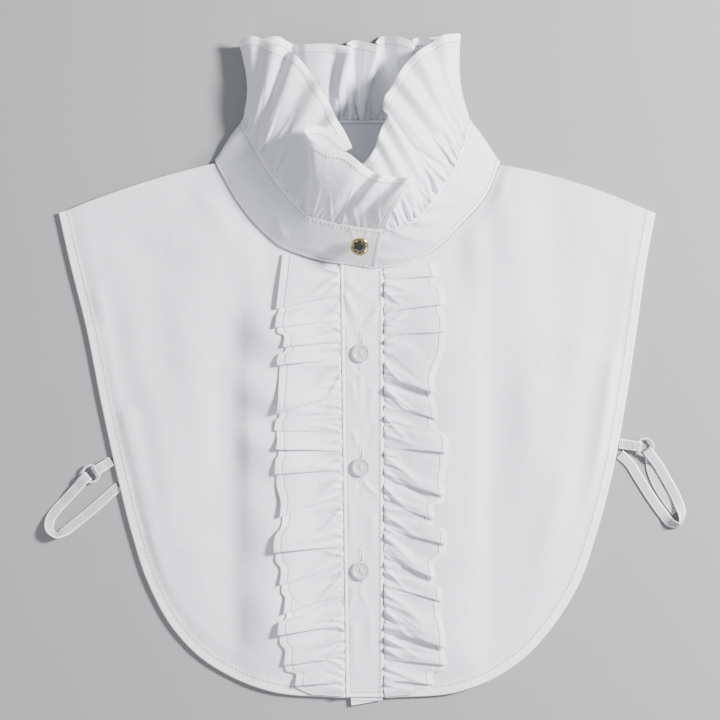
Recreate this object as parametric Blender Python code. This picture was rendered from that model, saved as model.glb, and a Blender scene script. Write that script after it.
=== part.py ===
import math

import bpy
import numpy as np

# A detachable ruffled collar: a bib of front and back panels laid flat, a stand band
# and a gathered ruffle round the neck, two ruffles beside a buttoned placket, and an
# elastic loop at each side. Lengths are in millimetres here and are scaled to metres
# as each mesh is made. +Y points to the neck ruffle, +Z is up from the table, and the
# origin is on the back panel's underside.

MM = 0.001
WALL = 1.0            # cloth wall
SEAM_GAP = 0.3        # gap between two pieces at a seam
FRONT_Z = 1.8         # middle of the front panels' wall
PLACKET_Z = 3.15      # middle of the placket's wall
PLACKET_WALL = 1.1    # folded cloth of the placket
PLACKET_RIDGE = 0.3   # stitched ridge down each edge of the placket
HEM_WIDTH = 6.0       # turned hem on the bib's edge
HEM_RISE = 0.4        # how far the hem's fold stands above the panel
NECK_STEP = 0.95      # panels stop this far short of the band's lower edge
BACK_INSET = 0.7      # back panel's edge inside the front's edge
SHOULDER_HEM = 1.9    # the hem's inner line meets the shoulder this far above its tip
PLACKET_COVER = 15.0  # the hem lies flat this near the middle, under the placket

PLACKET_LEFT_TOP = -13.2
PLACKET_LEFT_BOTTOM = -9.8
PLACKET_RIGHT = 13.0
BIB_BOTTOM = -148.5

RUFFLE_GATHERS = 46
RUFFLE_GATHER_DEPTH = 0.95
RUFFLE_LEAD = 14.0    # the cloth leaves its seam in the band's direction
RUFFLE_OPENING = 1.9  # folds open toward the hem by this power of the depth
JABOT_GATHERS = 27
JABOT_GATHER_DEPTH = 0.7
JABOT_PUFF = 1.3      # rise of the cloth between seam and hem

# Half outline of the bib: y, then x of the left and of the right edge.
OUTLINE = (
    (142.0, -181.8, 175.8),
    (114.0, -175.5, 170.5),
    (72.0, -165.0, 164.5),
    (29.0, -156.5, 158.0),
    (-14.0, -147.0, 150.0),
    (-50.0, -138.0, 140.5),
    (-79.0, -128.5, 130.5),
    (-108.0, -112.5, 112.5),
    (-122.5, -99.0, 99.5),
    (-136.5, -77.0, 79.5),
    (-144.5, -55.0, 59.0),
    (BIB_BOTTOM, -14.0, 16.0),
)

# Stand band, one row a section, from the upper lap's end round the left side, the
# back and the right side to the under lap's end: the neck seam's point, then the
# ruffle seam's point.
BAND = (
    ("upper_end", 8.5, 108.5, 3.7, 12.5, 131.0, 24.0),
    ("button", -9.5, 111.5, 3.7, -6.0, 133.5, 24.0),
    ("front_1", -23.5, 113.5, 3.4, -18.0, 136.0, 23.5),
    ("front_2", -36.0, 117.0, 3.2, -30.0, 139.5, 22.5),
    ("front_3", -48.5, 122.0, 3.0, -37.0, 145.0, 21.0),
    ("front_4", -57.0, 129.0, 3.0, -44.0, 153.0, 19.5),
    ("left_1", -66.0, 138.0, 3.0, -50.5, 161.0, 17.5),
    ("left_2", -75.0, 150.0, 3.0, -58.0, 172.0, 15.5),
    ("left_3", -82.0, 162.0, 3.0, -64.0, 183.0, 12.5),
    ("left_4", -86.2, 169.5, 3.0, -69.0, 191.5, 9.0),
    ("left_fold", -87.6, 173.2, 1.8, -71.0, 197.0, 4.6),
    ("back_1", -85.2, 172.6, 0.6, -67.0, 199.0, 1.2),
    ("back_2", -68.0, 169.5, 0.6, -52.0, 198.5, 0.7),
    ("back_3", -38.0, 167.0, 0.6, -30.0, 198.0, 0.6),
    ("back_mid", -3.0, 166.0, 0.6, -3.0, 198.0, 0.6),
    ("back_5", 33.0, 167.0, 0.6, 25.0, 198.0, 0.6),
    ("back_6", 62.0, 169.0, 0.6, 45.0, 198.5, 0.7),
    ("back_7", 79.8, 171.6, 0.6, 60.0, 199.0, 1.2),
    ("right_fold", 82.2, 172.2, 1.8, 64.3, 197.0, 4.6),
    ("right_4", 80.8, 168.5, 3.0, 62.5, 190.5, 9.0),
    ("right_3", 76.5, 157.0, 3.0, 59.5, 180.5, 12.5),
    ("right_2", 70.0, 147.0, 3.0, 55.0, 169.5, 15.5),
    ("right_1", 59.0, 135.5, 3.0, 45.0, 154.0, 18.5),
    ("front_6", 48.0, 124.0, 2.9, 36.0, 142.0, 20.5),
    ("front_7", 34.0, 115.5, 2.4, 27.0, 135.5, 21.5),
    ("under_lap", 14.0, 109.6, 2.2, 13.5, 132.0, 22.4),
    ("under_end", -7.0, 112.4, 2.3, -4.0, 134.6, 22.4),
)

# Hem of the collar ruffle, a row for each fold's edge: the band section that it hangs
# from, the hem's point, and how far the cloth bows up between seam and hem.
RUFFLE_HEM = (
    (0.0, 31.0, 159.0, 42.0, 9.0),
    (0.45, 27.5, 160.0, 46.5, 8.0),
    (0.85, 20.0, 161.0, 40.5, 5.0),
    (1.25, 12.5, 161.5, 46.0, 7.0),
    (1.7, 6.0, 164.0, 40.0, 4.0),
    (2.1, -0.5, 168.5, 46.5, 6.0),
    (2.55, -9.0, 175.0, 46.0, 6.0),
    (3.0, -20.0, 177.5, 45.5, 5.0),
    (3.35, -29.5, 183.0, 44.5, 5.0),
    (3.6, -34.0, 188.5, 41.5, 4.0),
    (3.9, -26.5, 191.5, 38.0, 3.0),
    (4.2, -17.0, 188.0, 36.0, 3.0),
    (4.5, -8.0, 180.0, 33.5, 3.0),
    (4.75, -6.0, 179.5, 30.5, 3.0),
    (5.0, -10.0, 188.0, 29.5, 4.0),
    (5.4, -15.0, 196.0, 31.0, 5.0),
    (5.9, -19.0, 205.0, 27.5, 4.0),
    (6.4, -24.5, 214.0, 30.0, 5.0),
    (6.9, -30.5, 224.0, 25.0, 4.0),
    (7.4, -39.0, 234.0, 26.0, 5.0),
    (7.9, -43.5, 237.0, 19.5, 3.0),
    (8.4, -51.0, 240.0, 22.0, 5.0),
    (8.9, -60.0, 245.0, 15.5, 3.0),
    (9.4, -67.0, 246.5, 14.0, 3.0),
    (9.8, -73.0, 244.5, 9.0, 1.0),
    (10.1, -72.0, 243.0, 4.5, 0.0),
    (10.9, -66.0, 244.0, 1.2, 0.0),
    (11.6, -59.0, 246.0, 6.5, 1.0),
    (12.1, -50.0, 247.0, 8.5, 2.0),
    (12.5, -42.0, 243.5, 2.0, 0.0),
    (13.0, -33.0, 242.5, 8.0, 3.0),
    (13.3, -19.0, 242.5, 11.0, 3.0),
    (13.55, -6.0, 240.5, 12.5, 4.0),
    (13.75, -9.0, 243.0, 6.0, 1.0),
    (13.95, -4.0, 245.5, 2.5, 0.0),
    (14.2, 10.0, 242.0, 10.0, 3.0),
    (14.4, 8.5, 244.5, 4.0, 1.0),
    (14.6, 12.5, 248.0, 2.5, 0.0),
    (14.9, 22.5, 247.0, 8.5, 3.0),
    (15.15, 31.5, 243.5, 11.0, 3.0),
    (15.35, 30.0, 245.5, 5.0, 1.0),
    (15.6, 33.5, 247.0, 2.5, 0.0),
    (16.0, 41.0, 246.5, 8.0, 2.0),
    (16.6, 49.5, 248.0, 2.0, 0.0),
    (17.2, 56.0, 248.5, 3.0, 0.0),
    (17.9, 58.5, 248.5, 6.5, 0.0),
    (18.4, 56.5, 248.5, 11.0, 2.0),
    (18.8, 48.5, 247.0, 16.5, 3.0),
    (19.3, 40.5, 242.0, 15.5, 4.0),
    (19.8, 32.5, 236.0, 22.0, 5.0),
    (20.2, 26.0, 229.5, 21.0, 4.0),
    (20.6, 21.5, 222.5, 27.0, 6.0),
    (21.0, 17.5, 215.0, 25.5, 4.0),
    (21.4, 13.5, 209.0, 30.5, 5.0),
    (21.8, 12.5, 202.0, 28.5, 4.0),
    (22.2, 15.5, 198.0, 33.0, 5.0),
    (22.6, 12.0, 191.5, 31.0, 4.0),
    (23.1, 10.0, 186.0, 35.0, 5.0),
    (23.7, 8.0, 180.0, 33.0, 4.0),
    (24.4, 5.0, 174.0, 35.0, 5.0),
    (25.2, 0.0, 169.0, 33.5, 4.0),
    (26.0, -6.0, 166.0, 33.0, 3.0),
)

# Folds of the two placket ruffles, top to bottom: y at the seam, y at the hem, the
# hem's x, and the height of the fold's edge above the panel.
JABOT_LEFT = (
    (95.0, 86.0, -51.0, 6.0),
    (79.0, 73.5, -51.5, 4.5),
    (65.5, 62.0, -47.0, 6.5),
    (55.5, 51.0, -50.5, 5.5),
    (35.0, 22.5, -50.5, 7.0),
    (12.0, 12.0, -52.0, 4.0),
    (0.5, 1.0, -51.0, 5.5),
    (-11.0, -14.0, -52.0, 5.0),
    (-25.0, -39.5, -49.0, 7.0),
    (-56.0, -60.5, -52.5, 6.0),
    (-69.0, -80.0, -49.0, 6.5),
    (-84.5, -97.0, -46.5, 5.0),
    (-103.0, -110.0, -50.0, 6.5),
    (-123.0, -128.5, -46.5, 5.5),
    (-138.0, -140.5, -40.0, 4.5),
)
JABOT_RIGHT = (
    (103.0, 104.5, 45.5, 4.5),
    (84.0, 87.5, 49.5, 6.0),
    (69.5, 71.0, 50.5, 5.5),
    (45.5, 34.0, 44.0, 7.0),
    (30.0, 18.5, 45.0, 4.5),
    (3.0, -1.0, 51.5, 6.5),
    (-16.0, -27.0, 49.5, 5.0),
    (-30.5, -41.0, 43.5, 7.0),
    (-46.0, -56.0, 50.5, 4.5),
    (-63.0, -76.5, 44.0, 6.5),
    (-79.5, -90.0, 48.0, 5.0),
    (-105.0, -117.5, 50.0, 6.5),
    (-124.0, -128.0, 50.5, 5.5),
    (-136.0, -140.0, 43.0, 4.5),
)
JABOT_LEFT_ENDS = ((110.0, 117.4, -47.5), (-147.5, -146.0, -30.0))
JABOT_RIGHT_ENDS = ((108.0, 113.0, 43.5), (-147.5, -146.0, 30.0))

SHIRT_BUTTON_Y = (58.2, -10.2, -72.0)
SHIRT_BUTTON_X = -0.6
SHIRT_BUTTON_RADIUS = 5.6
NECK_BUTTON_X = -1.5
NECK_BUTTON_RADIUS = 5.7
NECK_BUTTON_LEVEL = 0.62   # share of the band's height at which the button is sewn

TAPE_WIDTH = 6.0
TAPE_WALL = 1.0
RING_WIRE = 0.8       # radius of the strap rings' wire

# Elastic loops on the table: the ring's centre, the way from the body to the loop, the
# route from ring to tip and back to the bib's edge, the stretch that lies under it, how
# far along the tip is, where the tab leaves the bib, and where a loop's upper leg comes
# down from the leg below it.
RING_Z = TAPE_WALL + SEAM_GAP + RING_WIRE
RING_RADIUS = 5.1
RING_SEAT = RING_RADIUS - 1.45   # the tape's fold sits here, clear of the ring's curve
LEFT_RING = (-162.4, -14.2)
LEFT_AWAY = (-0.77, -0.638)
LEFT_LOOP = (
    (-170.0, -21.6), (-177.2, -29.4), (-183.4, -36.0), (-187.0, -42.0),
    (-187.0, -48.0), (-183.0, -51.0), (-177.6, -48.4), (-170.6, -43.0), (-160.2, -34.4),
    (-151.0, -26.2), (-145.9, -21.9),
)
LEFT_UNDER = ((-173.0, -25.0), (-170.0, -21.6))
LEFT_TIP = 42.0
LEFT_TAB = (-150.2, -6.6)
RIGHT_RING = (169.4, 1.8)
RIGHT_AWAY = (0.60, -0.80)
RIGHT_LOOP = (
    (176.6, -7.4), (182.6, -17.6), (188.6, -29.0), (191.4, -39.0),
    (190.0, -44.4), (185.6, -43.8), (180.4, -38.0), (173.6, -28.6), (166.0, -16.6),
    (160.0, -7.4), (154.7, -2.4),
)
RIGHT_UNDER = ((188.4, -37.0), (182.0, -28.6), (176.4, -19.0), (173.4, -10.0), (173.0, -5.0))
RIGHT_TIP = 46.0
RIGHT_TAB = (154.2, 3.9)
LAP_END = {"elastic_loop_right_side": 11.0, "elastic_loop_left_side": 50.0}


def clear_scene():
    for item in list(bpy.data.objects):
        bpy.data.objects.remove(item, do_unlink=True)


def material(name, color, roughness, metallic=0.0):
    mat = bpy.data.materials.new(name)
    mat.use_nodes = True
    shader = mat.node_tree.nodes["Principled BSDF"]
    shader.inputs["Base Color"].default_value = (*color, 1.0)
    shader.inputs["Roughness"].default_value = roughness
    shader.inputs["Metallic"].default_value = metallic
    return mat


def add_object(name, points, faces, mat):
    mesh = bpy.data.meshes.new(name)
    mesh.from_pydata([tuple(float(c) * MM for c in p) for p in points], [], faces)
    mesh.materials.append(mat)
    mesh.validate()
    item = bpy.data.objects.new(name, mesh)
    bpy.context.scene.collection.objects.link(item)
    return item


def smooth(keys, rows, at):
    """Read rows of values at new keys along a smooth curve through them."""
    keys = np.asarray(keys, float)
    rows = np.asarray(rows, float)
    step = np.diff(keys)
    slope = np.diff(rows, axis=0) / step[:, None]
    tangent = np.empty_like(rows)
    tangent[0] = slope[0]
    tangent[-1] = slope[-1]
    weight = (step[1:] / (step[1:] + step[:-1]))[:, None]
    tangent[1:-1] = slope[:-1] * weight + slope[1:] * (1.0 - weight)
    at = np.clip(np.asarray(at, float), keys[0], keys[-1])
    i = np.clip(np.searchsorted(keys, at, side="right") - 1, 0, len(keys) - 2)
    h = step[i][:, None]
    t = ((at - keys[i]) / step[i])[:, None]
    return ((2 * t**3 - 3 * t**2 + 1) * rows[i] + (t**3 - 2 * t**2 + t) * h * tangent[i]
            + (3 * t**2 - 2 * t**3) * rows[i + 1] + (t**3 - t**2) * h * tangent[i + 1])


def run_length(points):
    steps = np.linalg.norm(np.diff(points, axis=0), axis=1)
    return np.concatenate(([0.0], np.cumsum(steps)))


def even(points, count):
    """Space points evenly along the smooth curve through them."""
    points = np.asarray(points, float)
    fine = smooth(run_length(points), points, np.linspace(0, run_length(points)[-1], 20 * count))
    along = run_length(fine)
    return smooth(along, fine, np.linspace(0, along[-1], count))


def normals(grid):
    across = np.gradient(grid, axis=0)
    down = np.gradient(grid, axis=1)
    n = np.cross(across, down)
    length = np.linalg.norm(n, axis=2, keepdims=True)
    return n / np.maximum(length, 1e-9)


def wall(name, grid, mat, thickness=WALL, raised=None, floor=0.0):
    """Close a wall round a grid of middle points, raised over its outer side."""
    grid = np.asarray(grid, float)
    rows, columns = grid.shape[:2]
    n = normals(grid)
    outer = grid + n * thickness / 2
    inner = grid - n * thickness / 2
    if raised is not None:
        outer = outer + n * raised[..., None]
    outer[..., 2] = np.maximum(outer[..., 2], floor)
    inner[..., 2] = np.maximum(inner[..., 2], floor)
    points = np.concatenate((outer.reshape(-1, 3), inner.reshape(-1, 3)))
    half = rows * columns
    faces = []
    for r in range(rows - 1):
        for c in range(columns - 1):
            a = r * columns + c
            b = a + 1
            d = a + columns
            e = d + 1
            faces.append((a, d, e, b))
            faces.append((a + half, b + half, e + half, d + half))
    rim = list(range(columns))
    rim += [r * columns + columns - 1 for r in range(1, rows)]
    rim += [(rows - 1) * columns + c for c in range(columns - 2, -1, -1)]
    rim += [r * columns for r in range(rows - 2, 0, -1)]
    for a, b in zip(rim, rim[1:] + rim[:1]):
        faces.append((a, b, b + half, a + half))
    return add_object(name, points, faces, mat)


def plate(name, outline, bottom, top, mat):
    """Close a flat plate over a plan outline that runs anticlockwise."""
    count = len(outline)
    points = [(x, y, bottom) for x, y in outline] + [(x, y, top) for x, y in outline]
    faces = [tuple(range(count - 1, -1, -1)), tuple(range(count, 2 * count))]
    for a in range(count):
        b = (a + 1) % count
        faces.append((a, b, b + count, a + count))
    return add_object(name, points, faces, mat)


def band_edge(at, ruffle_side=False, step=0.0):
    """Read the band's lower or upper edge, moved past it by step along the band."""
    rows = np.array([row[1:] for row in BAND])
    values = smooth(range(len(rows)), rows, at)
    neck = values[:, :3]
    top = values[:, 3:]
    along = top - neck
    along /= np.linalg.norm(along, axis=1, keepdims=True)
    if ruffle_side:
        return top + along * step
    return neck - along * step


def neck_line(start, stop, count, height):
    """Panel edge at the neck seam, in plan, just short of the band."""
    edge = band_edge(np.linspace(start, stop, count), step=NECK_STEP)
    edge[:, 2] = height
    return edge


def bib_edge(side, count, inset=0.0):
    """Side and bottom edge of the bib, from shoulder tip to centre front."""
    rows = np.array([(row[1 + side], row[0], 0.0) for row in OUTLINE])
    edge = even(rows, count)
    if inset:
        run = np.gradient(edge, axis=0)
        run /= np.linalg.norm(run, axis=1, keepdims=True)
        turn = 1.0 if side == 0 else -1.0
        edge = edge + inset * turn * np.stack((-run[:, 1], run[:, 0], run[:, 2]), axis=1)
    return edge


def shoulder_line(neck, tip, count, bulge):
    """Shoulder edge from neck point to tip, bowed outward by a few millimetres."""
    t = np.linspace(0, 1, count)[:, None]
    line = neck * (1 - t) + tip * t
    line[:, 1] += bulge * 4 * (t * (1 - t))[:, 0]
    return line


def patch(neck, hem, shoulder, centre):
    """Fill four edges with a grid that runs from neck seam to hem."""
    u = np.linspace(0, 1, len(neck))[:, None, None]
    v = np.linspace(0, 1, len(shoulder))[None, :, None]
    across = (1 - v) * neck[:, None] + v * hem[:, None]
    down = (1 - u) * shoulder[None] + u * centre[None]
    corners = ((1 - u) * (1 - v) * neck[0] + u * (1 - v) * neck[-1]
               + (1 - u) * v * hem[0] + u * v * hem[-1])
    return across + down - corners


def panel_relief(x, y):
    """Low folds in the front panels, higher below the shoulders and beside the ruffles."""
    fold = 0.5 + 0.5 * np.cos((np.abs(x) - 104.0 + 0.10 * y) * 2 * math.pi / 46.0)
    second = 0.5 + 0.5 * np.cos((np.abs(x) - 66.0 - 0.16 * y) * 2 * math.pi / 29.0)
    spread = np.exp(-((y - 20.0) / 75.0)**2)
    edge = np.clip((np.abs(x) - 54.0) / 14.0, 0, 1)
    return (1.5 * fold + 0.7 * second) * spread * edge


def front_panel(name, side, mat):
    stations = 31
    if side == 0:
        neck = neck_line(9.7, 1.12, stations, 0.0)
        centre_top = neck[-1]
        centre_bottom = np.array((PLACKET_LEFT_BOTTOM + 2.0, BIB_BOTTOM, 0.0))
        bulge = 2.0
    else:
        neck = neck_line(18.35, 25.02, stations, 0.0)
        centre_top = neck[-1]
        centre_bottom = np.array((PLACKET_RIGHT + 0.6, BIB_BOTTOM, 0.0))
        bulge = 3.5
    hem = bib_edge(side, stations)
    hem[-1] = centre_bottom
    inner_hem = bib_edge(side, stations, inset=HEM_WIDTH)
    inner_hem[0, 1] = hem[0, 1] + SHOULDER_HEM
    inner_hem[-1] = centre_bottom + np.array((0.0, HEM_WIDTH, 0.0))
    shoulder = shoulder_line(neck[0], inner_hem[0], 9, bulge)
    t = np.linspace(0, 1, 9)[:, None]
    centre = centre_top * (1 - t) + inner_hem[-1] * t
    grid = patch(neck, inner_hem, shoulder, centre)
    lip = inner_hem * 0.88 + hem * 0.12
    rim = inner_hem * 0.06 + hem * 0.94
    grid = np.concatenate((grid, lip[:, None], rim[:, None], hem[:, None]), axis=1)
    grid[..., 2] = FRONT_Z + panel_relief(grid[..., 0], grid[..., 1])
    near_edge = np.ones(grid.shape[1])
    near_edge[-3:] = 0.0
    near_edge[-4] = 0.35
    near_edge[0] = 0.0
    grid[..., 2] = FRONT_Z + (grid[..., 2] - FRONT_Z) * near_edge[None, :]
    raised = np.zeros(grid.shape[:2])
    raised[:, -3:-1] = HEM_RISE
    raised[np.abs(grid[..., 0]) < PLACKET_COVER] = 0.0
    if side == 0:
        grid = grid[::-1]
        raised = raised[::-1]
    return wall(name, grid, mat, raised=raised)


def back_panel(mat):
    """Back of the bib, flat on the table, just inside the front's outline."""
    left = bib_edge(0, 40)
    right = bib_edge(1, 40)
    neck = neck_line(10.9, 17.1, 25, 0.0)
    left_shoulder = shoulder_line(neck[0], left[0], 8, 2.0)
    right_shoulder = shoulder_line(neck[-1], right[0], 8, 3.5)
    loop = np.concatenate((left, right[::-1], right_shoulder[::-1][1:], neck[::-1][1:],
                           left_shoulder[1:-1]))
    inner = loop.copy()
    run = np.roll(loop, -1, axis=0) - np.roll(loop, 1, axis=0)
    run /= np.linalg.norm(run, axis=1, keepdims=True)
    inner[:, 0] -= run[:, 1] * BACK_INSET
    inner[:, 1] += run[:, 0] * BACK_INSET
    first = len(left) + len(right) + len(right_shoulder) - 1
    stop = first + len(neck) - 1
    inner[first:stop] = loop[first:stop]
    return plate("back_panel", [(p[0], p[1]) for p in inner], 0.0, WALL, mat)


def stand_band(mat):
    """Stand band: a strip from lap to lap, bowed a little outward."""
    at = np.linspace(0, len(BAND) - 1, 2 * (len(BAND) - 1) + 1)
    neck = band_edge(at)
    top = band_edge(at, ruffle_side=True)
    v = np.array((0.0, 0.5, 1.0))[None, :, None]
    grid = neck[:, None] * (1 - v) + top[:, None] * v
    return wall("stand_band", grid[::-1], mat)


def ruffle_grid(stations, columns):
    """Middle points of the collar ruffle, from seam to hem."""
    rows = np.array(RUFFLE_HEM)
    fine = np.linspace(0, len(BAND) - 1, 2400)
    seam = band_edge(fine, ruffle_side=True)
    hem = smooth(rows[:, 0], rows[:, 1:], fine)
    pace = run_length(seam) / run_length(seam)[-1] + 1.3 * run_length(hem) / run_length(hem)[-1]
    at = np.interp(np.linspace(0, pace[-1], stations), pace, fine)
    side_fold = np.exp(-((at - 10.0) / 0.9)**2) + np.exp(-((at - 18.0) / 0.9)**2)
    seam = band_edge(at, ruffle_side=True, step=(SEAM_GAP + 0.4 * side_fold)[:, None])
    rise = band_edge(at, ruffle_side=True, step=1.0) - band_edge(at, ruffle_side=True)
    hem = smooth(rows[:, 0], rows[:, 1:], at)
    bow = hem[:, 3:]
    hem = hem[:, :3]
    along = run_length(seam)
    along /= along[-1]
    v = np.asarray(columns)[None, :, None]
    reach = stations // 24
    padded = np.concatenate((np.repeat(hem[:1], reach, axis=0), hem,
                             np.repeat(hem[-1:], reach, axis=0)))
    calm = sum(padded[k:k + stations] for k in range(2 * reach + 1)) / (2 * reach + 1)
    grid = seam[:, None] * (1 - v) + calm[:, None] * v + (hem - calm)[:, None] * v**RUFFLE_OPENING
    lead = RUFFLE_LEAD * v * (1 - v)**2
    grid = grid + rise[:, None] * lead
    grid[..., 2] += bow * 4 * v[0, :, 0] * (1 - v[0, :, 0])
    out = normals(grid)
    beat = along * RUFFLE_GATHERS + 0.35 * np.sin(along * 41.0) + 0.25 * np.sin(along * 97.0)
    pleat = 0.5 - 0.5 * np.cos(2 * math.pi * beat)
    depth = 2.0 * RUFFLE_GATHER_DEPTH * (0.75 + 0.25 * np.sin(along * 63.0))
    fade = (1 - v[0, :, 0])**1.4
    facing = out[..., 2:] * np.clip(2.2 * np.abs(out[..., 2:]) - 0.8, 0, 1)
    grid = grid + out * facing * (depth * pleat)[:, None, None] * fade[None, :, None]
    return grid


def collar_ruffle(mat):
    """Collar ruffle: one gathered strip whose ends lap at the front."""
    grid = ruffle_grid(206, (0.0, 0.14, 0.34, 0.58, 0.8, 1.0))
    return wall("collar_ruffle", grid[::-1], mat)


def placket_left(y):
    share = (y - BIB_BOTTOM) / (111.0 - BIB_BOTTOM)
    return PLACKET_LEFT_BOTTOM + (PLACKET_LEFT_TOP - PLACKET_LEFT_BOTTOM) * share


def jabot_grid(side, stations, columns):
    """Middle points of a placket ruffle, whose folds lap downward at the hem."""
    folds = JABOT_LEFT if side == 0 else JABOT_RIGHT
    ends = JABOT_LEFT_ENDS if side == 0 else JABOT_RIGHT_ENDS
    low = FRONT_Z + WALL + SEAM_GAP + 0.05
    rows = [(ends[0][0], ends[0][1], ends[0][2], 1.0)]
    for i, (seam_y, hem_y, hem_x, height) in enumerate(folds):
        above = ends[0][1] if i == 0 else folds[i - 1][1]
        below = ends[1][1] if i == len(folds) - 1 else folds[i + 1][1]
        lead = min(9.0, 0.55 * (above - hem_y))
        tuck = min(4.5, 0.3 * (hem_y - below), 0.45 * lead)
        inward = 1.5 if side == 0 else -1.5
        if i:
            rows.append((seam_y + 0.42 * (folds[i - 1][0] - seam_y), hem_y + lead,
                         hem_x + 0.4 * inward, 0.55 * height))
        rows.append((seam_y, hem_y, hem_x, height))
        after = ends[1][0] if i == len(folds) - 1 else folds[i + 1][0]
        rows.append((seam_y - 0.22 * (seam_y - after), hem_y + tuck,
                     hem_x + inward, 0.0))
        rows.append((seam_y - 0.40 * (seam_y - after), hem_y - 0.25 * (hem_y - below),
                     hem_x + 0.7 * inward, 0.4))
    rows.append((ends[1][0], ends[1][1], ends[1][2], 0.8))
    rows = np.array(rows)
    keys = np.arange(len(rows))
    fine = np.linspace(0, keys[-1], 1500)
    path = smooth(keys, rows, fine)
    pace = run_length(path[:, 1:]) + 0.6 * run_length(path[:, :1])
    at = np.interp(np.linspace(0, pace[-1], stations), pace, fine)
    path = smooth(keys, rows, at)
    seam_y, hem_y, hem_x, height = path.T
    height = np.maximum(height, 0.0)
    if side == 0:
        seam_x = placket_left(seam_y) - SEAM_GAP
    else:
        seam_x = np.full(stations, PLACKET_RIGHT + SEAM_GAP)
    seam = np.stack((seam_x, seam_y, np.zeros(stations)), axis=1)
    hem = np.stack((hem_x, hem_y, np.zeros(stations)), axis=1)
    v = np.asarray(columns)
    grid = seam[:, None] * (1 - v)[None, :, None] + hem[:, None] * v[None, :, None]
    along = (seam_y[0] - seam_y) / (seam_y[0] - seam_y[-1])
    beat = along * JABOT_GATHERS + 0.3 * np.sin(along * 37.0) + 0.2 * np.sin(along * 71.0)
    pleat = 0.5 - 0.5 * np.cos(2 * math.pi * beat)
    gather = (2.0 * JABOT_GATHER_DEPTH * pleat)[:, None] * ((1 - v)**1.5)[None, :]
    puff = JABOT_PUFF * np.sin(math.pi * np.clip(v, 0, 1))**0.8
    ends_flat = np.minimum(1.0, 14.0 * np.minimum(along, 1 - along))
    grid[..., 2] = low + height[:, None] * (v**0.75)[None, :] + gather
    grid[..., 2] += puff[None, :] * ends_flat[:, None]
    grid[..., 2] += HEM_RISE * np.clip((BIB_BOTTOM + 14.0 - grid[..., 1]) / 5.0, 0, 1)
    return grid


def placket_ruffle(name, side, mat):
    grid = jabot_grid(side, 112, (0.0, 0.16, 0.42, 0.72, 1.0))
    if side == 1:
        grid = grid[::-1]
    return wall(name, grid, mat)


def neck_edge_y(x):
    """Plan line of the placket's top edge at the neck seam."""
    return 109.1 - 0.17 * x


def placket(mat):
    """Buttoned placket on top, with a stitched ridge down each edge."""
    share = np.array((0.0, 0.03, 0.1, 0.13, 0.5, 0.87, 0.9, 0.97, 1.0))
    lift = np.array((0.0, 1.0, 1.0, 0.0, 0.0, 0.0, 1.0, 1.0, 0.0))
    levels = np.linspace(0, 1, 8)
    grid = np.zeros((len(levels), len(share), 3))
    for r, level in enumerate(levels):
        for c, s in enumerate(share):
            top_x = PLACKET_LEFT_TOP + (PLACKET_RIGHT - PLACKET_LEFT_TOP) * s
            bottom_x = PLACKET_LEFT_BOTTOM + (PLACKET_RIGHT - PLACKET_LEFT_BOTTOM) * s
            x = bottom_x + (top_x - bottom_x) * level
            y = BIB_BOTTOM + 0.9 + (neck_edge_y(top_x) - BIB_BOTTOM - 0.9) * level
            grid[r, c] = (x, y, PLACKET_Z)
    raised = np.tile(PLACKET_RIDGE * lift, (len(levels), 1))
    return wall("placket", grid[:, ::-1], mat, thickness=PLACKET_WALL, raised=raised)


def button_stand(mat):
    """Under placket that carries the shirt buttons; its foot shows below the hem."""
    top = neck_line(25.1, 25.98, 5, FRONT_Z)
    right = PLACKET_RIGHT + 0.3
    outline = [(-9.0 + 2.8, -153.0), (12.4, -149.6), (right, top[0][1])]
    outline += [(p[0], p[1]) for p in top[1:] if p[0] < right - 1.0 and p[0] > -9.0]
    outline += [(-9.6, neck_edge_y(-9.6) - 0.4), (-6.9, -147.0)]
    return plate("button_stand", outline, FRONT_Z - WALL / 2, FRONT_Z + WALL / 2, mat)


def turned(name, profile, sides, centre, axis, mat):
    """Spin a closed profile of radius and height round an axis through a centre."""
    axis = np.asarray(axis, float) / np.linalg.norm(axis)
    side = np.cross((0.0, 1.0, 0.0), axis)
    side /= np.linalg.norm(side)
    other = np.cross(axis, side)
    points = []
    rings = []
    for radius, height in profile:
        base = np.asarray(centre) + axis * height
        if radius == 0.0:
            rings.append([len(points)])
            points.append(base)
            continue
        rings.append(list(range(len(points), len(points) + sides)))
        for k in range(sides):
            a = 2 * math.pi * k / sides
            points.append(base + side * radius * math.cos(a) + other * radius * math.sin(a))
    faces = []
    for low, high in zip(rings, rings[1:]):
        for k in range(sides):
            j = (k + 1) % sides
            if len(low) == 1:
                faces.append((low[0], high[j], high[k]))
            elif len(high) == 1:
                faces.append((low[k], low[j], high[0]))
            else:
                faces.append((low[k], low[j], high[j], high[k]))
    return add_object(name, points, faces, mat)


def shirt_button(name, y, mat):
    """Two-hole shirt button: rounded rim round a sunk middle."""
    r = SHIRT_BUTTON_RADIUS
    base = PLACKET_Z + PLACKET_WALL / 2 + SEAM_GAP
    profile = ((0.0, 0.0), (r - 1.4, 0.0), (r, 1.0), (r - 0.3, 1.9), (r - 1.0, 2.2), (r - 2.2, 1.5),
               (0.0, 1.4))
    return turned(name, profile, 20, (SHIRT_BUTTON_X, y, base), (0, 0, 1), mat)


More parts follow.
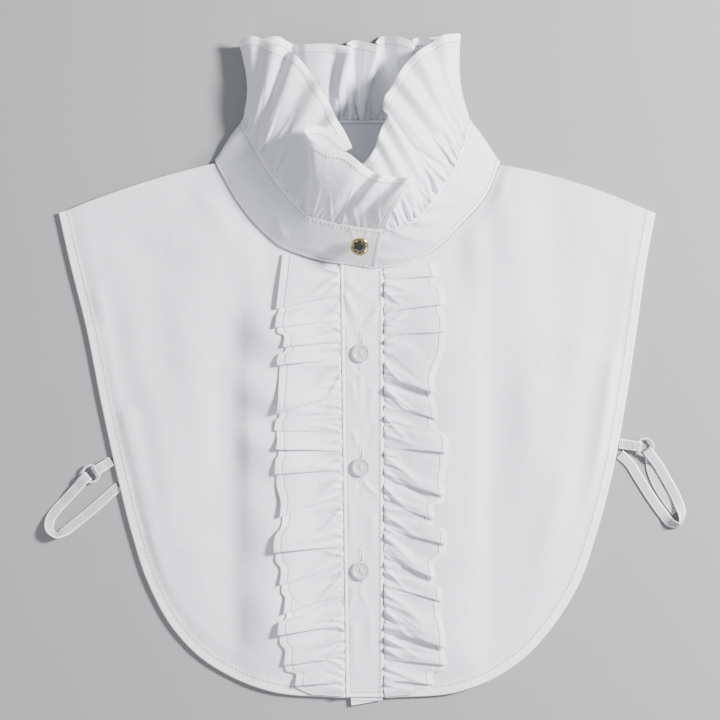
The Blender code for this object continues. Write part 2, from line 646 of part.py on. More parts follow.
def neck_button(metal, stone):
    """Metal button on a short shank, with a domed stone in its rim."""
    low = band_edge([0.55])[0]
    high = band_edge([0.55], ruffle_side=True)[0]
    along = (high - low) / np.linalg.norm(high - low)
    out = np.cross((1.0, 0.0, 0.0), along)
    out /= np.linalg.norm(out)
    seat = low * (1 - NECK_BUTTON_LEVEL) + high * NECK_BUTTON_LEVEL + out * (WALL / 2 + SEAM_GAP)
    seat[0] = NECK_BUTTON_X
    axis = out * 0.55 + np.array((0.0, 0.0, 0.45))
    axis /= np.linalg.norm(axis)
    foot = seat + out * 0.5
    r = NECK_BUTTON_RADIUS
    rim = ((0.0, 0.0), (1.4, 0.0), (1.4, 3.6), (r - 1.2, 3.8), (r, 4.6), (r, 5.6), (r - 0.5, 6.1),
           (r - 1.1, 5.7), (r - 1.2, 5.0), (0.0, 5.0))
    turned("neck_button_rim", rim, 24, foot, axis, metal)
    dome = ((0.0, 0.0), (r - 1.6, 0.0), (r - 1.6, 0.9), (r - 2.2, 1.7), (r - 3.4, 2.4), (0.0, 2.7))
    turned("neck_button_stone", dome, 16, foot + axis * 5.3, axis, stone)


def tape(name, centre, across, mat):
    """Sweep flat elastic along a centre line, given its width direction at each point."""
    run = np.gradient(centre, axis=0)
    run /= np.linalg.norm(run, axis=1, keepdims=True)
    across = across - run * np.sum(across * run, axis=1, keepdims=True)
    across /= np.linalg.norm(across, axis=1, keepdims=True)
    up = np.cross(run, across)
    half = TAPE_WIDTH / 2
    thick = TAPE_WALL / 2
    corners = ((-half, -thick), (half, -thick), (half, thick), (-half, thick))
    points = []
    for p, a, u in zip(centre, across, up):
        for w, t in corners:
            q = p + a * w + u * t
            points.append((q[0], q[1], max(q[2], 0.0)))
    faces = [(3, 2, 1, 0)]
    count = len(centre)
    for i in range(count - 1):
        for k in range(4):
            j = (k + 1) % 4
            faces.append((4 * i + k, 4 * i + j, 4 * (i + 1) + j, 4 * (i + 1) + k))
    last = 4 * (count - 1)
    faces.append((last, last + 1, last + 2, last + 3))
    return add_object(name, points, faces, mat)


def level_across(plan):
    run = np.gradient(plan, axis=0)
    run /= np.linalg.norm(run, axis=1, keepdims=True)
    return np.stack((-run[:, 1], run[:, 0], np.zeros(len(plan))), axis=1)


def fold_points(bar, away, count=5):
    """Half turn of tape round a ring's bar, from below it to above it."""
    radius = RING_WIRE + SEAM_GAP + TAPE_WALL / 2
    z = RING_Z
    points = []
    for k in range(count):
        a = -math.pi / 2 + math.pi * k / (count - 1)
        points.append((bar[0] - away[0] * radius * math.cos(a), bar[1] - away[1] * radius * math.cos(a),
                       z + radius * math.sin(a)))
    return np.array(points)


def side_loop(name, ring, away, route, under, tip_at, mat):
    """Elastic from under its ring, round the ring's far bar, out to the tip and back."""
    away = np.asarray(away, float)
    bar = np.asarray(ring) + away * RING_SEAT
    fold = fold_points(bar, away)
    across_fold = np.tile((away[1], -away[0], 0.0), (len(fold), 1))
    end = [(bar[0] + away[0], bar[1] + away[1], 0.0), (bar[0], bar[1], 0.0)]
    low = even(np.array([(x, y, 0.0) for x, y in under] + end), 10)[:-1]
    across_low = level_across(low[:, :2])
    low[:, 2] = TAPE_WALL / 2
    start = [(bar[0], bar[1], 0.0), (bar[0] + 1.5 * away[0], bar[1] + 1.5 * away[1], 0.0)]
    high = even(np.array(start + [(x, y, 0.0) for x, y in route]), 28)[1:]
    along = run_length(high)
    tip = np.exp(-((along - tip_at) / 7.5)**2)
    roll = math.radians(62.0) * tip
    lapped = 1.5 * TAPE_WALL + SEAM_GAP + 0.05
    clear = lapped - (lapped - TAPE_WALL / 2) * np.clip((along - LAP_END[name]) / 8.0, 0, 1)
    drop = np.clip(1 - along / 8.0, 0, 1)
    over_ring = RING_Z + RING_WIRE + SEAM_GAP + TAPE_WALL / 2
    lift = clear + (over_ring - lapped) * drop * drop * (3 - 2 * drop)
    across_high = level_across(high[:, :2]) * np.cos(roll)[:, None]
    across_high[:, 2] = -np.sin(roll)
    high[:, 2] = np.maximum(lift, TAPE_WALL / 2 + 0.02) + TAPE_WIDTH / 2 * np.sin(roll)
    sign = 1.0 if np.dot(across_low[-1][:2], across_fold[0][:2]) > 0 else -1.0
    across_low *= sign
    sign = 1.0 if np.dot(across_high[0][:2], across_fold[0][:2]) > 0 else -1.0
    across_high *= sign
    centre = np.concatenate((low, fold, high))
    across = np.concatenate((across_low, across_fold, across_high))
    return tape(name, centre, across, mat)


def side_tab(name, ring, start, mat):
    """Short tab from the bib's edge, over its ring's near side and back under."""
    away = np.asarray(ring) - np.asarray(start)
    away /= np.linalg.norm(away)
    bar = np.asarray(ring) - away * RING_SEAT
    fold = fold_points(bar, -away)
    start = np.asarray(start, float)
    out = start - bar
    steps = np.linspace(0, 1, 5)[:-1]
    high = np.array([(start[0] - out[0] * t, start[1] - out[1] * t, 0.0) for t in steps])
    high[:, 2] = (1.8, 1.8, 2.3, 3.3)
    low = np.array([(bar[0] + out[0] * t, bar[1] + out[1] * t, 0.5) for t in (0.25, 0.5)])
    centre = np.concatenate((high, fold[::-1], low))
    across = np.tile((away[1], -away[0], 0.0), (len(centre), 1))
    return tape(name, centre, across, mat)


def strap_ring(name, ring, mat):
    """Round wire ring that joins the tab and the loop."""
    sides = 6
    stations = 24
    points = []
    for i in range(stations):
        a = 2 * math.pi * i / stations
        for k in range(sides):
            b = 2 * math.pi * k / sides
            r = RING_RADIUS + RING_WIRE * math.cos(b)
            points.append((ring[0] + r * math.cos(a), ring[1] + r * math.sin(a),
                           RING_Z + RING_WIRE * math.sin(b)))
    faces = []
    for i in range(stations):
        n = (i + 1) % stations
        for k in range(sides):
            j = (k + 1) % sides
            faces.append((i * sides + k, n * sides + k, n * sides + j, i * sides + j))
    return add_object(name, points, faces, mat)


def main():
    clear_scene()
    cotton = material("white_cotton", (0.86, 0.87, 0.90), 0.75)
    elastic = material("ribbed_elastic", (0.84, 0.85, 0.87), 0.65)
    pearl = material("clear_white_plastic", (0.80, 0.81, 0.83), 0.25)
    gold = material("gold_plated_metal", (0.83, 0.66, 0.34), 0.22, 1.0)
    dark_stone = material("faceted_grey_stone", (0.12, 0.12, 0.14), 0.05)
    back_panel(cotton)
    front_panel("front_panel_right_side", 0, cotton)
    front_panel("front_panel_left_side", 1, cotton)
    button_stand(cotton)
    placket(cotton)
    stand_band(cotton)
    collar_ruffle(cotton)
    placket_ruffle("placket_ruffle_right_side", 0, cotton)
    placket_ruffle("placket_ruffle_left_side", 1, cotton)
    for number, y in enumerate(SHIRT_BUTTON_Y, start=1):
        shirt_button(f"shirt_button_{number}", y, pearl)
    neck_button(gold, dark_stone)
    side_loop("elastic_loop_right_side", LEFT_RING, LEFT_AWAY, LEFT_LOOP, LEFT_UNDER, LEFT_TIP, elastic)
    side_tab("elastic_tab_right_side", LEFT_RING, LEFT_TAB, elastic)
    strap_ring("strap_ring_right_side", LEFT_RING, pearl)
    side_loop("elastic_loop_left_side", RIGHT_RING, RIGHT_AWAY, RIGHT_LOOP, RIGHT_UNDER, RIGHT_TIP, elastic)
    side_tab("elastic_tab_left_side", RIGHT_RING, RIGHT_TAB, elastic)
    strap_ring("strap_ring_left_side", RIGHT_RING, pearl)


main()
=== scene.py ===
import math

import bpy
import numpy as np
from mathutils import Matrix, Vector


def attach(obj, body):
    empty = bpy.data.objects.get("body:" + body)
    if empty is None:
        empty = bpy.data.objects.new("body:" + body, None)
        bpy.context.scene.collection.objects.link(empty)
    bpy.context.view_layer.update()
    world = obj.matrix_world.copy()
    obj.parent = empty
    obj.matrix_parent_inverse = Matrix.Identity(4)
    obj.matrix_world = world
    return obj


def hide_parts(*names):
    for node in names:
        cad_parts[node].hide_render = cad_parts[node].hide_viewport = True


# A white cotton ruffled collar with a bib, laid flat and seen from straight above.
# Lengths in the tables are millimetres, +Y points to the neck ruffle and the cloth rests
# on the table at height zero. Side 0 is the wearer's right, where x is below zero.

mm = 0.001
sides = ("right", "left")

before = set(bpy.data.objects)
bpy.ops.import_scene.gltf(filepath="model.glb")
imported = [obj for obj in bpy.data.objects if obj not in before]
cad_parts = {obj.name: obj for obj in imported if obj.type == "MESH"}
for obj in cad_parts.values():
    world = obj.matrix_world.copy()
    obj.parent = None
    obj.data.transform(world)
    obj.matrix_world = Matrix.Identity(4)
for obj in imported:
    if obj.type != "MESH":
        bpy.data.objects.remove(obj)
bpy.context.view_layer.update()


# Curves and grids of points

def smoothRows(keys, rows, at):
    # values read along a smooth curve through the rows of a table
    keys, rows = np.asarray(keys, float), np.asarray(rows, float)
    step = np.diff(keys)
    slope = np.diff(rows, axis=0) / step[:, None]
    weight = (step[1:] / (step[1:] + step[:-1]))[:, None]
    tangent = np.concatenate((slope[:1], slope[:-1] * weight + slope[1:] * (1 - weight), slope[-1:]))
    at = np.clip(np.asarray(at, float), keys[0], keys[-1])
    i = np.clip(np.searchsorted(keys, at, side="right") - 1, 0, len(keys) - 2)
    h = step[i][:, None]
    t = ((at - keys[i]) / step[i])[:, None]
    return ((2 * t**3 - 3 * t**2 + 1) * rows[i] + (t**3 - 2 * t**2 + t) * h * tangent[i]
            + (3 * t**2 - 2 * t**3) * rows[i + 1] + (t**3 - t**2) * h * tangent[i + 1])


def runLength(points):
    steps = np.linalg.norm(np.diff(points, axis=0), axis=1)
    return np.concatenate(([0.0], np.cumsum(steps)))


def evenPoints(points, count):
    points = np.asarray(points, float)
    fine = smoothRows(runLength(points), points, np.linspace(0, runLength(points)[-1], 20 * count))
    along = runLength(fine)
    return smoothRows(along, fine, np.linspace(0, along[-1], count))


def unit(vectors):
    return vectors / np.maximum(np.linalg.norm(vectors, axis=-1, keepdims=True), 1e-9)


def blend(first, last, share):
    return first * (1 - share) + last * share


def gridNormals(grid):
    return unit(np.cross(np.gradient(grid, axis=0), np.gradient(grid, axis=1)))


def softStep(value, low, high):
    t = np.clip((value - low) / (high - low), 0, 1)
    return t * t * (3 - 2 * t)


def columnLengths(grid):
    # distance of each grid point from the first column, along the cloth
    steps = np.linalg.norm(np.diff(grid, axis=1), axis=2)
    return np.concatenate((np.zeros((len(grid), 1)), np.cumsum(steps, axis=1)), axis=1)


def hemDistances(grid):
    return columnLengths(grid[:, ::-1])[:, ::-1]


# Creases and puckers

def creaseField(a, b, creases, crest=0.28):
    # sum of soft ridges (height above 0) and troughs (below 0) in flat coordinates a and b
    field = np.zeros(np.broadcast(a, b).shape)
    for a0, b0, a1, b1, width, height in creases:
        reach = 3 * width
        rows = np.any((a > min(a0, a1) - reach) & (a < max(a0, a1) + reach), axis=1)
        if not rows.any():
            continue
        pa, pb = a[rows] - a0, b[rows] - b0
        da, db = a1 - a0, b1 - b0
        length = max(math.hypot(da, db), 1e-6)
        t = (pa * da + pb * db) / length**2
        off = np.abs(pa * db - pb * da) / length
        past = np.maximum(np.maximum(-t, t - 1), 0) * length
        near = (np.hypot(np.hypot(off, past), crest * width) - crest * width) / width
        taper = np.clip(1.08 - np.clip(t, 0, 1), 0, 1)**0.7
        field[rows] += height * taper * np.exp(-1.1 * near - 0.5 * near**2)
    return field


def placeCreases(creases, at, run, tall):
    # from band section and share of the height to millimetres along and across the cloth
    return [(np.interp(a0, at, run), b0 * tall, np.interp(a1, at, run), b1 * tall, width, height)
            for a0, b0, a1, b1, width, height in creases]


def puckerField(along, across, line, seed, height=0.16):
    # small waves that a tight row of stitches pulls into the cloth beside it
    random = np.random.default_rng(seed)
    at = np.cumsum(random.uniform(2.6, 7.5, 400))
    at = at[at < along[-1]]
    size = random.uniform(-1.0, 1.0, len(at))
    width = random.uniform(0.9, 1.7, len(at))
    wave = np.zeros(len(along))
    for a, s, w in zip(at, size, width):
        wave += s * np.exp(-((along - a) / w)**2)
    return height * wave[:, None] * np.exp(-((across - line) / 4.5)**2)


def fineGathers(total, count, seed, longest, lean=0.25):
    # the many small gathers at a seam, each with its own length and lean
    random = np.random.default_rng(seed)
    places = (np.arange(count) + random.uniform(0.2, 0.8, count)) * total / count
    creases = []
    for k, a in enumerate(places):
        length = longest * random.uniform(0.2, 1.0)**3 + 3.0
        drift = length * random.normal(0, lean)
        width = random.uniform(0.6, 0.9) + 0.02 * length
        height = random.uniform(0.8, 1.6) * (1 if k % 2 else -0.8)
        creases.append((a, 0.0, a + drift, length, width, height))
    return creases


# Meshes

def meshObject(name, points, faces, material):
    mesh = bpy.data.meshes.new(name)
    mesh.from_pydata((np.asarray(points, float) * mm).tolist(), [], faces)
    mesh.materials.append(material)
    mesh.update()
    piece = bpy.data.objects.new(name, mesh)
    bpy.context.scene.collection.objects.link(piece)
    mesh.shade_smooth()
    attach(piece, "root")
    return piece


def writeCloth(piece, across, along, seam):
    # UV "cloth" in metres, and the signed distance from the stitched line in metres
    mesh = piece.data
    corner = np.empty(len(mesh.loops), int)
    mesh.loops.foreach_get("vertex_index", corner)
    flat = np.stack((across, along), axis=-1).reshape(-1, 2)[corner] * mm
    layer = mesh.uv_layers.new(name="cloth")
    layer.data.foreach_set("uv", flat.astype(np.float32).ravel())
    stored = mesh.attributes.new("seam", "FLOAT", "POINT")
    stored.data.foreach_set("value", (np.asarray(seam).ravel() * mm).astype(np.float32))


def shellFaces(rows, columns):
    # the upper side of a grid's wall, its lower side, and the strip round its rim
    half = rows * columns
    index = np.arange(half).reshape(rows, columns)
    quads = np.stack((index[:-1, :-1], index[1:, :-1], index[1:, 1:], index[:-1, 1:]), axis=-1).reshape(-1, 4)
    rim = np.concatenate((index[0, :-1], index[:-1, -1], index[-1, :0:-1], index[:0:-1, 0]))
    after = np.roll(rim, -1)
    walls = np.stack((rim, after, after + half, rim + half), axis=1)
    return np.concatenate((quads, quads[:, ::-1] + half, walls)).tolist()


def clothShell(name, grid, thickness, material, seam, raised=0.0):
    # a closed thin wall round a grid whose upper side is the side that is seen
    columns = grid.shape[1]
    normals = gridNormals(grid)
    upper = grid + normals * np.broadcast_to(thickness / 2 + raised, seam.shape)[..., None]
    lower = grid - normals * thickness / 2
    for surface in (upper, lower):
        surface[..., 2] = np.maximum(surface[..., 2], 0.0)
    points = np.concatenate((upper, lower)).reshape(-1, 3)
    piece = meshObject(name, points, shellFaces(len(grid), columns), material)
    along = np.repeat(runLength(grid[:, columns // 2])[:, None], columns, axis=1)
    writeCloth(piece, *(np.stack((values, values)) for values in (columnLengths(grid), along, seam)))
    piece.data.set_sharp_from_angle(angle=math.radians(70))
    return piece, upper, normals


def sweepMesh(name, line, side, wide, high, around, material):
    # a closed bar along a line: a ring of points at each station and a cap at each end
    count, ring = len(line), len(around)
    up = np.cross(unit(np.gradient(line, axis=0)), side)
    points = line[:, None] + side[:, None] * wide[..., None] + up[:, None] * high[..., None]
    points[..., 2] = np.maximum(points[..., 2], 0.02)
    faces = [(i * ring + k, i * ring + (k + 1) % ring, (i + 1) * ring + (k + 1) % ring, (i + 1) * ring + k)
             for i in range(count - 1) for k in range(ring)]
    faces.append(tuple(range(ring - 1, -1, -1)))
    faces.append(tuple(range((count - 1) * ring, count * ring)))
    piece = meshObject(name, points.reshape(-1, 3), faces, material)
    farFromSeam = np.full(count * ring, 9.0)
    writeCloth(piece, np.tile(around, count), np.repeat(runLength(line), ring), farFromSeam)
    return piece


# Sewing

thread = {"length": 1.65, "pitch": 2.5, "radius": 0.25, "sink": 0.05}
hemThread = {"length": 1.5, "pitch": 2.3}


def sewLine(stitches, points, ups, pitch=thread["pitch"], length=thread["length"]):
    # adds one row of machine stitches along a line on the cloth
    run = runLength(points)
    for k in range(int(run[-1] / pitch)):
        start = (k + 0.5) * pitch - length / 2
        at = np.clip(start + length * np.array((0.0, 0.2, 0.8, 1.0)), 0, run[-1])
        p, u = (np.stack([np.interp(at, run, values[:, i]) for i in range(3)], axis=1)
                for values in (points, ups))
        stitches.append((p, unit(u), thread["radius"]))


def sewAt(stitches, surface, normals, distance, at, trim=slice(None), **gauge):
    # a row of stitches where the grid's distance table crosses one value
    points, ups = [], []
    for row, up, d in zip(surface, normals, distance):
        way = 1 if d[-1] > d[0] else -1
        for made, values in ((points, row), (ups, up)):
            made.append([np.interp(at, d[::way], values[::way, k]) for k in range(3)])
    sewLine(stitches, np.array(points)[trim], unit(np.array(ups))[trim], **gauge)


def stitchMesh(name, stitches, material, ring=5):
    # all the stitches of a piece as one mesh of short closed spindles
    points, faces = [], []
    turns = [2 * math.pi * k / ring for k in range(ring)]
    for p, u, radius in stitches:
        run = unit(p[-1] - p[0])
        side = unit(np.cross(run, u[1]))
        lift = radius * 0.55 - thread["sink"]
        first = len(points)
        last = first + 1 + 2 * ring
        points.append(p[0] - u[0] * radius * 0.4)
        for q, up in ((p[1], u[1]), (p[2], u[2])):
            points += [q + up * (lift + radius * math.sin(a)) + side * radius * math.cos(a) for a in turns]
        points.append(p[3] - u[3] * radius * 0.4)
        for k in range(ring):
            near, beside = first + 1 + k, first + 1 + (k + 1) % ring
            faces.append((first, near, beside))
            faces.append((beside, near, near + ring, beside + ring))
            faces.append((last, beside + ring, near + ring))
    return meshObject(name, points, faces, material)


def dress(piece, node, stitches=None):
    # the piece takes its CAD node's place, and its stitches become a piece beside it
    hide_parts(node)
    if stitches:
        sewn = stitchMesh(piece.name + "Stitches", stitches, threadMaterial)
        return sewn


# Materials

def feed(tree, socket, value):
    if isinstance(value, bpy.types.NodeSocket):
        tree.links.new(value, socket)
    else:
        socket.default_value = value


def feedAll(tree, node, inputs):
    for label, value in inputs.items():
        feed(tree, node.inputs[label], value)


def addNode(tree, kind, inputs=None, **settings):
    # its settings come first, because they decide which sockets it has
    node = tree.nodes.new(kind)
    spot = len(tree.nodes)
    node.location = (spot % 6 * 220 - 1300, 500 - spot // 6 * 320)
    for key, value in settings.items():
        setattr(node, key, value)
    feedAll(tree, node, inputs or {})
    return node


def addMath(tree, operation, *values):
    return addNode(tree, "ShaderNodeMath", dict(enumerate(values)), operation=operation).outputs[0]


def addNoise(tree, vector, scale, detail=2.0, **inputs):
    inputs = {"Vector": vector, "Scale": scale, "Detail": detail, **inputs}
    return addNode(tree, "ShaderNodeTexNoise", inputs).outputs[0]


def addRange(tree, value, low, high):
    return addNode(tree, "ShaderNodeMapRange", {"Value": value, "To Min": low, "To Max": high}).outputs[0]


def addMix(tree, share, first, second):
    tones = [tone if isinstance(tone, bpy.types.NodeSocket) else (*tone, 1) for tone in (first, second)]
    inputs = {"Factor": share, "A": tones[0], "B": tones[1]}
    return addNode(tree, "ShaderNodeMix", inputs, data_type="RGBA").outputs["Result"]


def addBump(tree, height, distance, below=None):
    inputs = {"Height": height, "Distance": distance}
    if below is not None:
        inputs["Normal"] = below
    return addNode(tree, "ShaderNodeBump", inputs).outputs[0]


def newMaterial(name):
    material = bpy.data.materials.new(name)
    material.use_nodes = True
    tree = material.node_tree
    return material, tree, tree.nodes["Principled BSDF"]


def newGroup(name, inputs, outputs):
    # inputs with their starting values, where None makes a vector; all outputs are numbers
    group = bpy.data.node_groups.new(name, "ShaderNodeTree")
    for label, value in inputs.items():
        kind = "NodeSocketVector" if value is None else "NodeSocketFloat"
        socket = group.interface.new_socket(label, in_out="INPUT", socket_type=kind)
        if value is not None:
            socket.default_value = value
    for label in outputs:
        group.interface.new_socket(label, in_out="OUTPUT", socket_type="NodeSocketFloat")
    return group, addNode(group, "NodeGroupInput").outputs, addNode(group, "NodeGroupOutput").inputs


def buildWeaveGroup():
    # plain weave with thicker threads here and there: relief and a light and dark mask
    group, given, made = newGroup("plainWeave", {"Vector": None, "Thread Pitch": 0.0003, "Slub": 0.5},
                                  ("Height", "Shade"))
    parts = addNode(group, "ShaderNodeSeparateXYZ", {0: given["Vector"]}).outputs
    turn = addMath(group, "DIVIDE", math.pi, given["Thread Pitch"])
    warp, weft = (addMath(group, "SINE", addMath(group, "MULTIPLY", parts[k], turn)) for k in (0, 1))
    slubs = []
    for label, scale in (("warp slubs", (1400, 60, 60)), ("weft slubs", (60, 1400, 60))):
        stretch = addNode(group, "ShaderNodeMapping", {"Vector": given["Vector"], "Scale": scale}, label=label)
        slubs.append(addNoise(group, stretch.outputs[0], 1.0))
    slub = addMath(group, "SUBTRACT", addMath(group, "ADD", *slubs), 1.0)
    uneven = addMath(group, "MULTIPLY", slub, given["Slub"])
    cross = addMath(group, "MULTIPLY", addMath(group, "MULTIPLY", warp, weft), 0.5)
    feed(group, made["Height"], addMath(group, "ADD", cross, uneven))
    feed(group, made["Shade"], uneven)
    return group


def buildSeamGroup():
    # a narrow pressed groove where the signed distance is zero, with small puckers beside it; its Groove output
    # is also the mask for the painted shade in the groove
    group, given, made = newGroup(
        "stitchGroove", {"Distance": 1.0, "Along": 0.0, "Width": 0.0005, "Pucker": 0.3},
        ("Height", "Groove", "Hem"))

    def bell(value):
        # one where the value is zero, and next to nothing past two
        square = addMath(group, "MULTIPLY", value, value)
        return addMath(group, "EXPONENT", addMath(group, "MULTIPLY", square, -1.0))

    share = addMath(group, "DIVIDE", given["Distance"], given["Width"])
    groove = bell(share)
    around = bell(addMath(group, "DIVIDE", share, 6.0))
    wave = addNode(group, "ShaderNodeTexNoise", noise_dimensions="1D")
    feedAll(group, wave, {"W": given["Along"], "Scale": 420.0, "Detail": 1.0})
    ripple = addMath(group, "MULTIPLY", addMath(group, "SUBTRACT", wave.outputs[0], 0.5), around)
    pucker = addMath(group, "MULTIPLY", ripple, given["Pucker"])
    feed(group, made["Height"], addMath(group, "SUBTRACT", pucker, groove))
    feed(group, made["Groove"], groove)
    feed(group, made["Hem"], addMath(group, "LESS_THAN", given["Distance"], 0.0))
    return group


weaveGroup = buildWeaveGroup()
seamGroup = buildSeamGroup()

# the groove colour is painted shade laid into the stitch grooves
cotton = {
    "color": (0.80, 0.805, 0.855), "hemColor": (0.93, 0.933, 0.965), "grooveShadeColor": (0.30, 0.30, 0.33),
    "threadPitch": 0.00032, "slub": 0.9, "roughness": 0.62, "sheen": 0.12,
    "weaveDepth": 0.00003, "crinkleDepth": 0.0004, "seamDepth": 0.00022, "seamWidth": 0.0003,
}


def buildCotton(name, pucker, crinkle):
    material, tree, shader = newMaterial(name)
    cloth = addNode(tree, "ShaderNodeUVMap", uv_map="cloth").outputs[0]
    along = addNode(tree, "ShaderNodeSeparateXYZ", {0: cloth}).outputs[1]
    distance = addNode(tree, "ShaderNodeAttribute", attribute_name="seam").outputs["Fac"]
    place = addNode(tree, "ShaderNodeTexCoord").outputs["Object"]
    weave = addNode(tree, "ShaderNodeGroup", node_tree=weaveGroup)
    feedAll(tree, weave, {"Vector": cloth, "Thread Pitch": cotton["threadPitch"], "Slub": cotton["slub"]})
    seam = addNode(tree, "ShaderNodeGroup", node_tree=seamGroup)
    feedAll(tree, seam, {"Distance": distance, "Along": along, "Width": cotton["seamWidth"],
                              "Pucker": pucker})
    crease = addNoise(tree, place, 55.0, 3.0, Roughness=0.45, Distortion=1.2)
    mottle = addNoise(tree, place, 24.0, 4.0)
    shade = addMath(tree, "MULTIPLY", weave.outputs["Shade"], 0.10)
    light = addMath(tree, "ADD", shade, addRange(tree, mottle, 0.955, 1.03))
    body = addMix(tree, seam.outputs["Hem"], cotton["color"], cotton["hemColor"])
    worn = addNode(tree, "ShaderNodeVectorMath", {0: body, "Scale": light}, operation="SCALE").outputs[0]
    # the stitch groove is darkened in the base colour: painted contact shade
    groove = addMath(tree, "MULTIPLY", seam.outputs["Groove"], 0.75)
    fine = addBump(tree, weave.outputs["Height"], cotton["weaveDepth"])
    soft = addBump(tree, crease, cotton["crinkleDepth"] * crinkle, fine)
    matt = addMath(tree, "MULTIPLY", mottle, 0.12)
    feedAll(tree, shader, {
        "Base Color": addMix(tree, groove, worn, cotton["grooveShadeColor"]),
        "Normal": addBump(tree, seam.outputs["Height"], cotton["seamDepth"], soft),
        "Roughness": addMath(tree, "ADD", matt, cotton["roughness"] - 0.06),
        "Sheen Weight": cotton["sheen"], "Sheen Roughness": 0.4, "Specular IOR Level": 0.3,
    })
    return material


# color is the ribbed middle darkened as painted shade between the ribs; edgeColor is the white elastic itself
elastic = {"rib": 0.0012, "halfWidth": 0.003, "color": (0.46, 0.47, 0.50), "edgeColor": (0.84, 0.845, 0.86)}


def buildElastic():
    # flat elastic: cross ribs between two plain edges, read from the strip's own UV; the ribbed middle is
    # greyed and its rib troughs darkened in the base colour as painted shade
    material, tree, shader = newMaterial("ribbedWhiteElastic")
    strip = addNode(tree, "ShaderNodeUVMap", uv_map="cloth").outputs[0]
    parts = addNode(tree, "ShaderNodeSeparateXYZ", {0: strip}).outputs
    weave = addNode(tree, "ShaderNodeGroup", node_tree=weaveGroup)
    feedAll(tree, weave, {"Vector": strip, "Thread Pitch": 0.0004, "Slub": 0.6})
    ribs = addMath(tree, "SINE", addMath(tree, "MULTIPLY", parts[1], 2 * math.pi / elastic["rib"]))
    inside = addNode(tree, "ShaderNodeMapRange", {
        "Value": addMath(tree, "ABSOLUTE", parts[0]), "From Min": elastic["halfWidth"] * 0.78,
        "From Max": elastic["halfWidth"] * 0.60}, interpolation_type="SMOOTHSTEP").outputs[0]
    # darker in the rib troughs and over the whole ribbed middle: painted shade between the ribs
    gap = addMath(tree, "SUBTRACT", 0.75, addMath(tree, "MULTIPLY", ribs, 0.35))
    dark = addMath(tree, "MULTIPLY", gap, inside)
    yarn = addMath(tree, "MULTIPLY", weave.outputs["Height"], 0.25)
    height = addMath(tree, "ADD", addMath(tree, "MULTIPLY", ribs, inside), yarn)
    feedAll(tree, shader, {
        "Base Color": addMix(tree, dark, elastic["edgeColor"], elastic["color"]),
        "Normal": addBump(tree, height, 0.00016), "Roughness": 0.6, "Sheen Weight": 0.1,
    })
    return material


# one fine noise mixes two tones, and where a pair stands it changes the roughness too
finishes = {
    "whiteSewingThread": {"grain": 2600.0, "tones": ((0.78, 0.785, 0.80), (0.90, 0.90, 0.91)),
                          "roughness": 0.45, "relief": 0.00004},
    "shadedButtonholeCut": {"grain": 2600.0, "tones": ((0.20, 0.20, 0.22), (0.32, 0.32, 0.34)),
                            "roughness": 0.45, "relief": 0.00004},
    "clearWhitePlastic": {"grain": 260.0, "detail": 3.0, "tones": ((0.74, 0.75, 0.77), (0.88, 0.885, 0.90)),
                          "roughness": (0.10, 0.24), "relief": 0.00002,
                          "more": {"Transmission Weight": 0.35, "IOR": 1.49, "Coat Weight": 0.4}},
    "goldPlatedMetal": {"grain": 900.0, "detail": 4.0, "tones": ((0.93, 0.78, 0.46), (0.80, 0.62, 0.30)),
                        "roughness": (0.10, 0.24), "relief": 0.00001, "more": {"Metallic": 1.0}},
    "greyFacetedStone": {"grain": 420.0, "tones": ((0.006, 0.006, 0.007), (0.03, 0.028, 0.03)),
                         "roughness": (0.02, 0.06), "more": {"IOR": 1.7, "Coat Weight": 0.5}},
    "paleTable": {"grain": 7.0, "detail": 5.0, "tones": ((0.30, 0.303, 0.31), (0.28, 0.283, 0.29)),
                  "roughness": 0.85},
}


def buildFinish(name):
    finish = finishes[name]
    material, tree, shader = newMaterial(name)
    place = addNode(tree, "ShaderNodeTexCoord").outputs["Object"]
    noise = addNoise(tree, place, finish["grain"], finish.get("detail", 2.0))
    roughness = finish["roughness"]
    if isinstance(roughness, tuple):
        roughness = addRange(tree, noise, *roughness)
    inputs = {"Base Color": addMix(tree, noise, *finish["tones"]), "Roughness": roughness}
    if "relief" in finish:
        inputs["Normal"] = addBump(tree, noise, finish["relief"])
    feedAll(tree, shader, {**inputs, **finish.get("more", {})})
    return material


cottonCloth = buildCotton("whiteCotton", pucker=0.45, crinkle=1.0)
ruffleCloth = buildCotton("ruffleCotton", pucker=0.7, crinkle=1.5)
elasticTape = buildElastic()
threadMaterial, shadedCut, clearPlastic, goldMetal, mirrorStone, tableTop = map(buildFinish, finishes)
print("materials ready")


# Cut of the bib

bib = {"bottom": -148.5, "frontHeight": 1.8, "cloth": 0.75, "lift": 1.3, "neckStep": 0.95,
       "hemWidth": 6.0, "hemRise": 0.35, "hemSeam": 5.3, "shoulderHem": 1.9, "placketCover": 15.0}

# each front: band sections at the ends of its neck edge, x of its foot, the shoulder's bow
frontCut = ({"neck": (9.7, 1.12), "foot": -7.8, "bow": 2.0}, {"neck": (18.35, 25.02), "foot": 13.6, "bow": 3.5})

# half outline of the bib: y, then x of the left and of the right edge
outline = (
    (142, -181.8, 175.8), (114, -175.5, 170.5), (72, -165, 164.5), (29, -156.5, 158), (-14, -147, 150),
    (-50, -138, 140.5), (-79, -128.5, 130.5), (-108, -112.5, 112.5), (-122.5, -99, 99.5),
    (-136.5, -77, 79.5), (-144.5, -55, 59), (-148.5, -14, 16),
)

